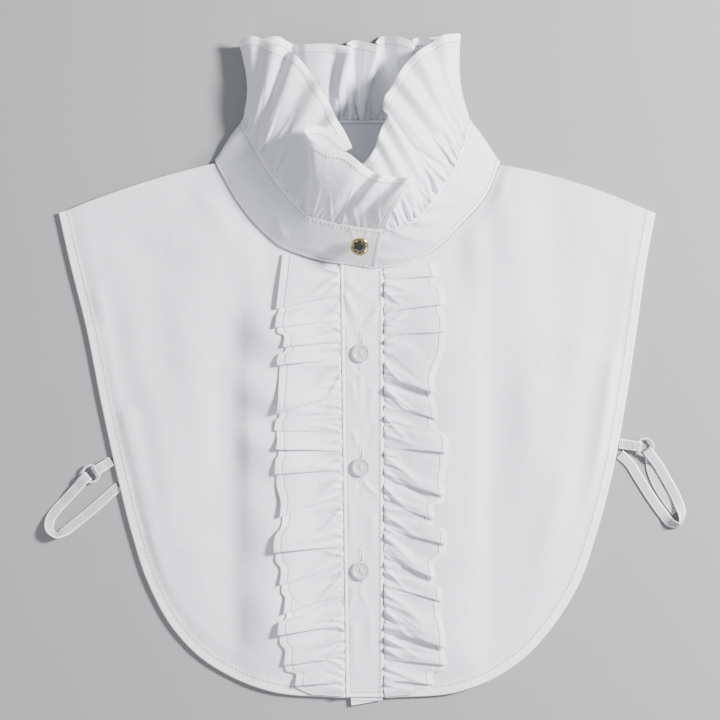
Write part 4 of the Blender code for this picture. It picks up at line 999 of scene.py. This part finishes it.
# Placket

# creases of the placket: x, y, x, y, width, height
placketCreases = (
    (-8, 100, 2, 92, 3, 0.5), (-10, 92, -3, 78, 2.5, 0.6), (4, 88, 0, 74, 2.2, -0.4), (9, 84, 1, 72, 2, 0.4),
    (-11, 84, -4, 66, 1.6, -0.4), (-8, 62, -7, 52, 2, 0.3), (-6, 40, -3, 24, 2, 0.3),
    (6, 36, 5, 18, 2.4, 0.3), (-1, 44, -1, 20, 1.4, 0.3), (-5, 10, -2, 0, 1.8, 0.4),
    (5, 12, 2, -2, 1.8, -0.3), (2, -20, 12, -30, 1.6, 0.4), (-1, -18, -2, -28, 1.4, -0.3),
    (-7, -34, -6, -58, 2.4, 0.3), (6, -40, 6, -62, 2.4, 0.3), (-5, -84, -8, -96, 2, 0.4),
    (-2, -82, 4, -96, 1.8, 0.3), (5, -100, 5, -126, 2.6, 0.3), (-5, -106, -4, -136, 2.6, 0.3),
)


def placket():
    rows, columns = 330, 40
    level = np.linspace(1, 0, rows)[:, None]
    share = np.linspace(0, 1, columns)[None, :]
    topX, bottomX = (blend(placketSet[left], placketSet["right"], share) for left in ("leftTop", "leftBottom"))
    bottom = bib["bottom"] + 0.9
    x = blend(bottomX, topX, level)
    y = blend(bottom, 109.1 - 0.17 * topX, level)
    grid = np.stack((x, y, np.full(x.shape, placketSet["height"])), axis=2)
    fromLeft, fromRight, fromFoot = x - x[:, :1], x[:, -1:] - x, y - bottom
    edge = np.minimum(fromLeft, fromRight)
    ridge = placketSet["ridge"] * (softStep(edge, 0.0, 0.6)
                                   - softStep(edge, placketSet["ridgeWidth"], placketSet["ridgeWidth"] + 0.5))
    relief = creaseField(y, x, [(b0, a0, b1, a1, w, h) for a0, b0, a1, b1, w, h in placketCreases])
    run = runLength(grid[:, 0])
    puckers = puckerField(run, fromLeft, 3.2, 91, 0.13) + puckerField(run, fromRight, 3.2, 92, 0.13)
    grid[..., 2] += np.maximum(2.2 * relief, -0.3) * softStep(edge, 1.0, 4.0)
    grid[..., 2] += puckers * softStep(edge, 0.5, 2.5)
    seam = np.minimum(edge - placketSet["seamLine"], fromFoot - placketSet["footLine"])
    piece, upper, normals = clothShell("frontPlacket", grid, placketSet["cloth"], cottonCloth, seam, ridge)
    stitches = []
    for gap in (fromLeft, fromRight):
        sewAt(stitches, upper, normals, gap, placketSet["seamLine"], trim=slice(3, -2))
    footRow = int(np.argmin(np.abs(fromFoot[:, columns // 2] - placketSet["footLine"])))
    sewLine(stitches, upper[footRow, 3:-3], normals[footRow, 3:-3])
    buttonholeThreads(upper, stitches)
    sewn = dress(piece, "placket", stitches)


shirtButtons = {"x": -0.6, "y": (58.2, -10.2, -72.0), "turns": (4, -5, 3), "radius": 5.6, "base": 4.0,
                "holeGap": 2.2, "strand": 0.24}
buttonhole = {"above": 12.5, "below": 9.0, "gap": 0.32, "bar": 1.15, "pitch": 0.62, "radius": 0.3,
              "slit": 0.3, "endBar": 1.7}


def levelStitch(start, stop, lift, radius):
    # four points of a short stitch from one spot to another, at one height
    t = np.linspace(0, 1, 4)
    points = np.stack((blend(start[0], stop[0], t), blend(start[1], stop[1], t), np.full(4, lift)), axis=1)
    return points, np.tile((0.0, 0.0, 1.0), (4, 1)), radius


def buttonholeThreads(surface, stitches):
    # a worked slit behind each shirt button: close bars down both sides and a bar across each end, and a dark
    # strip down each slit as painted shade in the cut
    flat = surface.reshape(-1, 3)
    x, radius = shirtButtons["x"], buttonhole["radius"]

    def heightAt(y):
        return flat[np.argmin((flat[:, 0] - x)**2 + (flat[:, 1] - y)**2), 2]

    slits = []
    for y in shirtButtons["y"]:
        low, high = y - buttonhole["below"], y + buttonhole["above"]
        # a dark strip down the slit stands in for the shade inside the cut: painted shade
        slit, ups, wide = levelStitch((x, low), (x, high), 0.0, buttonhole["slit"])
        slit[:, 2] = [heightAt(level) - 0.05 for level in slit[:, 1]]
        slits.append((slit, ups, wide))
        for way in (-1, 1):
            inner = x + way * buttonhole["gap"]
            outer = inner + way * buttonhole["bar"]
            for level in np.arange(low, high, buttonhole["pitch"]):
                lift = heightAt(level) + 0.02
                stitches.append(levelStitch((inner, level), (outer, level + 0.12), lift, radius))
        left, right = x - buttonhole["endBar"], x + buttonhole["endBar"]
        for end in (low - 0.5, high + 0.3):
            lift = heightAt(end) + 0.04
            for level in (end, end + 0.32, end + 0.64):
                stitches.append(levelStitch((left, level), (right, level), lift, radius))
    stitchMesh("buttonholeSlitShade", slits, shadedCut)


# edges of the button stand: share of its length, x, y
buttonStandCut = {"left": ((0, -6.2, -153), (0.02, -6.9, -147), (1, -9.6, 110.3)),
                  "right": ((0, 12.4, -149.6), (1, 13.3, 107.4)), "cloth": 0.8, "footSeam": -150.4}


def buttonStand():
    t = np.linspace(1, 0, 160)
    left, right = (np.stack([np.interp(t, rows[:, 0], rows[:, k]) for k in (1, 2)], axis=1)[:, None]
                   for rows in (np.array(buttonStandCut[edge]) for edge in ("left", "right")))
    flat = blend(left, right, np.linspace(0, 1, 14)[None, :, None])
    grid = np.concatenate((flat, np.full(flat[..., :1].shape, bib["frontHeight"])), axis=2)
    seam = np.minimum(grid[..., 1] - buttonStandCut["footSeam"], 3.0)
    piece = clothShell("buttonStand", grid, buttonStandCut["cloth"], cottonCloth, seam)[0]
    dress(piece, "button_stand")


# Hard pieces, modelled one by one

def deselectAll():
    if bpy.context.object and bpy.context.object.mode != "OBJECT":
        bpy.ops.object.mode_set(mode="OBJECT")
    bpy.ops.object.select_all(action="DESELECT")


def startCylinder(vertices, radius, depth, place, **settings):
    deselectAll()
    bpy.ops.mesh.primitive_cylinder_add(vertices=vertices, radius=radius * mm, depth=depth * mm,
                                        location=Vector(place) * mm, **settings)
    return bpy.context.object


def pickFaces(test):
    # in edit mode, selects the faces whose centre and normal pass the test
    bpy.ops.object.mode_set(mode="EDIT")
    bpy.ops.mesh.select_mode(type="FACE")
    bpy.ops.mesh.select_all(action="DESELECT")
    bpy.ops.object.mode_set(mode="OBJECT")
    for face in bpy.context.object.data.polygons:
        face.select = test(face.center, face.normal)
    bpy.ops.object.mode_set(mode="EDIT")


def growFaces(move, scale=1.0):
    bpy.ops.mesh.extrude_region_move(TRANSFORM_OT_translate={"value": Vector(move) * mm})
    bpy.ops.transform.resize(value=(scale, scale, 1))


def growCap(*steps):
    # draws the picked cap up by each height and widens or narrows its new end
    for height, scale in steps:
        growFaces((0, 0, height), scale)


def finishShape(piece, name, material, bevel=0.0, angle=35):
    bpy.ops.object.mode_set(mode="OBJECT")
    piece.name = name
    if bevel:
        edge = piece.modifiers.new("softEdges", "BEVEL")
        edge.width = bevel * mm
        edge.segments = 3
        edge.limit_method = "ANGLE"
        edge.angle_limit = math.radians(28)
        bpy.ops.object.modifier_apply(modifier=edge.name)
    piece.data.materials.clear()
    piece.data.materials.append(material)
    if angle:
        bpy.ops.object.shade_smooth_by_angle(angle=math.radians(angle))
    return piece


def seatPiece(piece, matrix, node=None):
    # puts the piece's place in its mesh, so that the object stays at the origin
    piece.data.transform(matrix @ piece.matrix_basis)
    piece.matrix_basis = Matrix.Identity(4)
    piece.data.update()
    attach(piece, "root")
    if node:
        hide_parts(node)


def modelShirtButton():
    # turned rim, dished middle and two holes
    r = shirtButtons["radius"]
    piece = startCylinder(56, r - 1.3, 0.5, (0, 0, 0.25))
    pickFaces(lambda centre, normal: normal.z > 0.9)
    growCap((0.55, r / (r - 1.3)), (0.55, 1.0), (0.35, (r - 0.5) / r))
    bpy.ops.mesh.inset(thickness=0.85 * mm)
    growCap((-0.22, 0.95), (-0.32, 0.86))
    bpy.ops.mesh.inset(thickness=0.7 * mm)
    finishShape(piece, "buttonPattern", clearPlastic, bevel=0.16)
    for way in (-1, 1):
        drill = startCylinder(20, 0.72, 6, (0, way * shirtButtons["holeGap"] / 2, 1.0))
        deselectAll()
        piece.select_set(True)
        bpy.context.view_layer.objects.active = piece
        hole = piece.modifiers.new("hole", "BOOLEAN")
        hole.operation = "DIFFERENCE"
        hole.object = drill
        bpy.ops.object.modifier_apply(modifier=hole.name)
        bpy.data.objects.remove(drill, do_unlink=True)
    bpy.ops.object.shade_smooth_by_angle(angle=math.radians(35))
    return piece


def modelButtonThread():
    # three strands that run from hole to hole over the button's middle
    half, top = shirtButtons["holeGap"] / 2, 1.62
    piece = startCylinder(10, shirtButtons["strand"], 2 * half, (0, 0, top), rotation=(math.radians(90), 0, 0))
    bpy.ops.object.transform_apply(location=True, rotation=True, scale=True)
    for way in (-1, 1):
        pickFaces(lambda centre, normal: normal.y * way > 0.9 and centre.y * way > 0)
        growFaces((0, way * 0.3, -0.35))
        bpy.ops.transform.rotate(value=way * math.pi / 2, orient_axis="X",
                                 center_override=Vector((0, way * (half + 0.3), top - 0.35)) * mm)
        growFaces((0, 0, -0.8))
    bpy.ops.mesh.select_all(action="SELECT")
    bpy.ops.transform.translate(value=(-0.32 * mm, 0, 0))
    for move in ((0.34, 0.06, 0.12), (0.32, -0.08, -0.1)):
        bpy.ops.mesh.duplicate_move(TRANSFORM_OT_translate={"value": Vector(move) * mm})
    return finishShape(piece, "strandPattern", threadMaterial, angle=50)


def shirtButtonSet():
    patterns = (modelShirtButton(), modelButtonThread())
    for number, (y, turn) in enumerate(zip(shirtButtons["y"], shirtButtons["turns"]), start=1):
        place = Matrix.Translation(Vector((shirtButtons["x"], y, shirtButtons["base"])) * mm)
        place = place @ Matrix.Rotation(math.radians(turn), 4, "Z")
        copies = []
        for pattern, name in zip(patterns, (f"shirtButton{number}", f"buttonThread{number}Sewn")):
            piece = pattern.copy()
            piece.data = pattern.data.copy()
            piece.name = name
            bpy.context.scene.collection.objects.link(piece)
            copies.append(piece)
        seatPiece(copies[0], place, f"shirt_button_{number}")
        seatPiece(copies[1], place)
    for pattern in patterns:
        bpy.data.objects.remove(pattern, do_unlink=True)


neckButton = {"x": -1.5, "radius": 5.7, "section": 0.55, "share": 0.62, "facets": 12, "claws": 8,
              "clawRadius": 0.42, "clawHeight": 6.02}


def neckButtonPlace():
    low, high = (bandEdge([neckButton["section"]], ruffleSide=top)[0] for top in (False, True))
    out = unit(np.cross((1.0, 0.0, 0.0), unit(high - low)))
    foot = blend(low, high, neckButton["share"]) + out * 0.8
    foot[0] = neckButton["x"]
    foot += out * 0.5
    axis = unit(out * 0.55 + np.array((0.0, 0.0, 0.45)))
    turn = Vector(axis).to_track_quat("Z", "Y").to_matrix().to_4x4()
    return Matrix.Translation(Vector(foot) * mm) @ turn


def neckButtonParts():
    place = neckButtonPlace()
    r = neckButton["radius"]
    rim = startCylinder(64, 1.4, 0.6, (0, 0, 0.3))
    pickFaces(lambda centre, normal: normal.z > 0.9)
    growCap((3.0, 1.0), (0.2, (r - 1.2) / 1.4), (0.6, (r - 0.25) / (r - 1.2)), (0.6, r / (r - 0.25)),
            (0.6, 1.0), (0.45, (r - 0.4) / r), (0.1, (r - 1.1) / (r - 0.4)), (-0.35, (r - 1.9) / (r - 1.1)),
            (-0.5, 0.98))
    finishShape(rim, "neckButtonRim", goldMetal, bevel=0.12)
    seatPiece(rim, place, "neck_button_rim")

    stone = startCylinder(neckButton["facets"], r - 2.2, 0.6, (0, 0, 5.6))
    pickFaces(lambda centre, normal: normal.z > 0.9)
    for height, scale in ((0.75, 0.80), (0.65, 0.64)):
        growCap((height, scale))
        bpy.ops.transform.rotate(value=math.pi / neckButton["facets"], orient_axis="Z",
                                 center_override=(0, 0, 0))
    bpy.ops.mesh.inset(thickness=0.25 * mm)
    bpy.ops.mesh.select_all(action="SELECT")
    bpy.ops.mesh.quads_convert_to_tris(quad_method="BEAUTY", ngon_method="BEAUTY")
    finishShape(stone, "neckButtonStone", mirrorStone, angle=0)
    seatPiece(stone, place, "neck_button_stone")

    # small claws that hold the stone in its rim
    deselectAll()
    claws = []
    for k in range(neckButton["claws"]):
        a = 2 * math.pi * (k + 0.5) / neckButton["claws"]
        spot = Vector(((r - 1.85) * math.cos(a), (r - 1.85) * math.sin(a), neckButton["clawHeight"]))
        bpy.ops.mesh.primitive_uv_sphere_add(segments=12, ring_count=8, radius=neckButton["clawRadius"] * mm,
                                             location=spot * mm)
        claws.append(bpy.context.object)
    deselectAll()
    for item in claws:
        item.select_set(True)
    bpy.context.view_layer.objects.active = claws[0]
    bpy.ops.object.join()
    claw = bpy.context.object
    bpy.ops.object.transform_apply(location=True, rotation=True, scale=True)
    bpy.ops.object.mode_set(mode="EDIT")
    bpy.ops.mesh.select_all(action="SELECT")
    bpy.ops.transform.resize(value=(1, 1, 0.6), center_override=(0, 0, neckButton["clawHeight"] * mm))
    finishShape(claw, "neckButtonClaws", goldMetal, angle=60)
    seatPiece(claw, place)


# Straps

strap = {"halfWidth": 3.0, "halfThick": 0.45, "seamGap": 0.3, "wall": 1.0, "wire": 0.8, "ringRadius": 5.1,
         "tipRoll": math.radians(62.0)}
strap["ringHeight"] = strap["wall"] + strap["seamGap"] + strap["wire"]
strap["seat"] = strap["ringRadius"] - 1.45
strap["foldRadius"] = strap["wire"] + strap["seamGap"] + strap["wall"] / 2

# loops on the table: ring centre, way from the body, route to the tip and back, the part
# under the ring's leg, how far along the tip is, where the tab starts, where the legs lap
strapRight = {
    "ring": (-162.4, -14.2), "away": (-0.77, -0.638),
    "route": ((-170, -21.6), (-177.2, -29.4), (-183.4, -36), (-187, -42), (-187, -48),
              (-183, -51), (-177.6, -48.4), (-170.6, -43), (-160.2, -34.4), (-151, -26.2),
              (-145.9, -21.9)),
    "under": ((-173, -25), (-170, -21.6)), "tip": 42, "tab": (-150.2, -6.6), "lapEnd": 11,
}
strapLeft = {
    "ring": (169.4, 1.8), "away": (0.60, -0.80),
    "route": ((176.6, -7.4), (182.6, -17.6), (188.6, -29), (191.4, -39), (190, -44.4), (185.6, -43.8),
              (180.4, -38), (173.6, -28.6), (166, -16.6), (160, -7.4), (154.7, -2.4)),
    "under": ((188.4, -37), (182, -28.6), (176.4, -19), (173.4, -10), (173, -5)),
    "tip": 46, "tab": (154.2, 3.9), "lapEnd": 50,
}


def tapeMesh(name, centre, across):
    # flat elastic swept along a line, with rounded edges
    key = runLength(centre)
    at = np.linspace(0, key[-1], 6 * len(centre))
    line = smoothRows(key, centre, at)
    side = unit(smoothRows(key, across, at))
    run = unit(np.gradient(line, axis=0))
    side = unit(side - run * np.sum(side * run, axis=1, keepdims=True))
    turn = np.arange(20) * 2 * math.pi / 20
    wide = strap["halfWidth"] * np.sign(np.cos(turn)) * np.abs(np.cos(turn))**0.4
    thick = strap["halfThick"] * np.sign(np.sin(turn)) * np.abs(np.sin(turn))**0.8
    piece = sweepMesh(name, line, side, wide, thick, wide, elasticTape)
    piece.data.set_sharp_from_angle(angle=math.radians(60))
    return piece


def onPlan(points, height=0.0):
    points = np.asarray(points, float)
    return np.column_stack((points, np.full(len(points), height)))


def levelAcross(line):
    run = unit(np.gradient(line[:, :2], axis=0))
    return np.stack((-run[:, 1], run[:, 0], np.zeros(len(line))), axis=1)


def foldPoints(bar, away, count=9):
    # half turn of the tape round the ring's wire
    turn = -math.pi / 2 + math.pi * np.arange(count) / (count - 1)
    flat = bar - away * strap["foldRadius"] * np.cos(turn)[:, None]
    return np.column_stack((flat, strap["ringHeight"] + strap["foldRadius"] * np.sin(turn)))


def sideLoop(side, shape):
    away = np.asarray(shape["away"], float)
    bar = np.asarray(shape["ring"]) + away * strap["seat"]
    fold = foldPoints(bar, away)
    acrossFold = np.tile((away[1], -away[0], 0.0), (len(fold), 1))
    low = evenPoints(onPlan([*shape["under"], bar + away, bar]), 16)[:-1]
    acrossLow = levelAcross(low)
    low[:, 2] = strap["wall"] / 2
    high = evenPoints(onPlan([bar, bar + 1.5 * away, *shape["route"]]), 60)[1:]
    along = runLength(high)
    roll = strap["tipRoll"] * np.exp(-((along - shape["tip"]) / 7.5)**2)
    lapped = 1.5 * strap["wall"] + strap["seamGap"] + 0.05
    clear = lapped - (lapped - strap["wall"] / 2) * np.clip((along - shape["lapEnd"]) / 8.0, 0, 1)
    overRing = strap["ringHeight"] + strap["foldRadius"]
    lift = clear + (overRing - lapped) * softStep(8.0 - along, 0.0, 8.0)
    acrossHigh = levelAcross(high) * np.cos(roll)[:, None]
    acrossHigh[:, 2] = -np.sin(roll)
    high[:, 2] = np.maximum(lift, strap["wall"] / 2 + 0.02) + strap["halfWidth"] * np.sin(roll)
    acrossLow *= np.sign(acrossLow[-1] @ acrossFold[0])
    acrossHigh *= np.sign(acrossHigh[0] @ acrossFold[0])
    piece = tapeMesh("elasticLoop" + sides[side].capitalize(), np.concatenate((low, fold, high)),
                     np.concatenate((acrossLow, acrossFold, acrossHigh)))
    dress(piece, f"elastic_loop_{sides[side]}_side")


def sideTab(side, shape):
    ring, start = np.asarray(shape["ring"]), np.asarray(shape["tab"], float)
    away = unit(ring - start)
    bar = ring - away * strap["seat"]
    acrossTab = np.array((away[1], -away[0], 0.0))
    steps = np.linspace(0, 1, 9)[:-1]
    high = onPlan([blend(start, bar, t) for t in steps])
    high[:, 2] = np.interp(steps, (0.0, 0.25, 0.5, 0.75), (1.8, 1.8, 2.3, 3.3))
    low = onPlan([blend(bar, start, t) for t in (0.12, 0.25, 0.5)], strap["wall"] / 2)
    centre = np.concatenate((high, foldPoints(bar, -away)[::-1], low))
    piece = tapeMesh("elasticTab" + sides[side].capitalize(), centre, np.tile(acrossTab, (len(centre), 1)))
    stitches = []
    for step in (0.5, 0.62):
        middle = np.array((*blend(start, bar, step), np.interp(step, steps, high[:, 2]) + 0.5))
        for k in (-1.7, 0.0, 1.7):
            points = middle + acrossTab * (k + np.array((-0.7, -0.4, 0.4, 0.7)))[:, None]
            stitches.append((points, np.tile((0.0, 0.0, 1.0), (4, 1)), 0.2))
    dress(piece, f"elastic_tab_{sides[side]}_side", stitches)


def strapRing(side, shape):
    # wire ring with a flattened joint where its ends meet
    deselectAll()
    bpy.ops.mesh.primitive_torus_add(major_segments=72, minor_segments=16, location=(0, 0, 0),
                                     major_radius=strap["ringRadius"] * mm, minor_radius=strap["wire"] * mm)
    piece = bpy.context.object
    away = Vector((*shape["away"], 0.0))
    joint = Vector((-away.y, away.x, 0.0))
    jointStart = 0.985 * (strap["ringRadius"] - 0.8) * mm
    pickFaces(lambda centre, normal: centre.dot(joint) > jointStart and abs(centre.dot(away)) < 0.5 * mm)
    bpy.ops.transform.resize(value=(0.9, 0.9, 0.82))
    finishShape(piece, "strapRing" + sides[side].capitalize(), clearPlastic, angle=60)
    seatPiece(piece, Matrix.Translation(Vector((*shape["ring"], strap["ringHeight"])) * mm),
              f"strap_ring_{sides[side]}_side")


print("panels")
frontPanel(0)
frontPanel(1)
backPanel()
buttonStand()
print("placket and its ruffles")
placket()
placketRuffle(0)
placketRuffle(1)
print("neck band and collar ruffle")
standBand()
collarRuffle()
seamCord()
print("buttons and straps")
shirtButtonSet()
neckButtonParts()
for side, shape in enumerate((strapRight, strapLeft)):
    sideLoop(side, shape)
    sideTab(side, shape)
    strapRing(side, shape)


# Stage

stageSet = {
    "cameraAt": (-0.0012, 0.054, 1.6), "viewWidth": 0.432,  # width of the picture at the table, in metres
    "worldColor": (0.84, 0.87, 0.92), "worldStrength": 0.40, "lampsFace": (0, 0.04, 0),
    "lamps": {
        "keyLight": {"at": (1.12, 0.46, 0.88), "size": 0.30, "power": 80.0},
        "fillLight": {"at": (-1.1, -0.5, 1.1), "size": 0.9, "power": 10.0},
    },
}


def buildStage():
    deselectAll()
    bpy.ops.mesh.primitive_plane_add(size=8, location=(0, 0, -0.0003))
    floor = bpy.context.object
    floor.name = "floor"
    floor.data.materials.append(tableTop)
    world = bpy.data.worlds.new("softRoom")
    bpy.context.scene.world = world
    world.use_nodes = True
    background = world.node_tree.nodes["Background"]
    background.inputs["Color"].default_value = (*stageSet["worldColor"], 1)
    background.inputs["Strength"].default_value = stageSet["worldStrength"]
    for name, settings in stageSet["lamps"].items():
        lamp = bpy.data.lights.new(name, "AREA")
        lamp.shape = "DISK"
        lamp.size = settings["size"]
        lamp.energy = settings["power"]
        holder = bpy.data.objects.new(name, lamp)
        bpy.context.scene.collection.objects.link(holder)
        holder.location = settings["at"]
        away = Vector(settings["at"]) - Vector(stageSet["lampsFace"])
        holder.rotation_euler = away.to_track_quat("Z", "Y").to_euler()
    eye = bpy.data.cameras.new("camera")
    eye.sensor_width = 36
    eye.lens = eye.sensor_width * stageSet["cameraAt"][2] / stageSet["viewWidth"]
    eye.clip_start = 0.05
    camera = bpy.data.objects.new("camera", eye)
    bpy.context.scene.collection.objects.link(camera)
    camera.location = stageSet["cameraAt"]
    bpy.context.scene.camera = camera


buildStage()
print("scene ready")
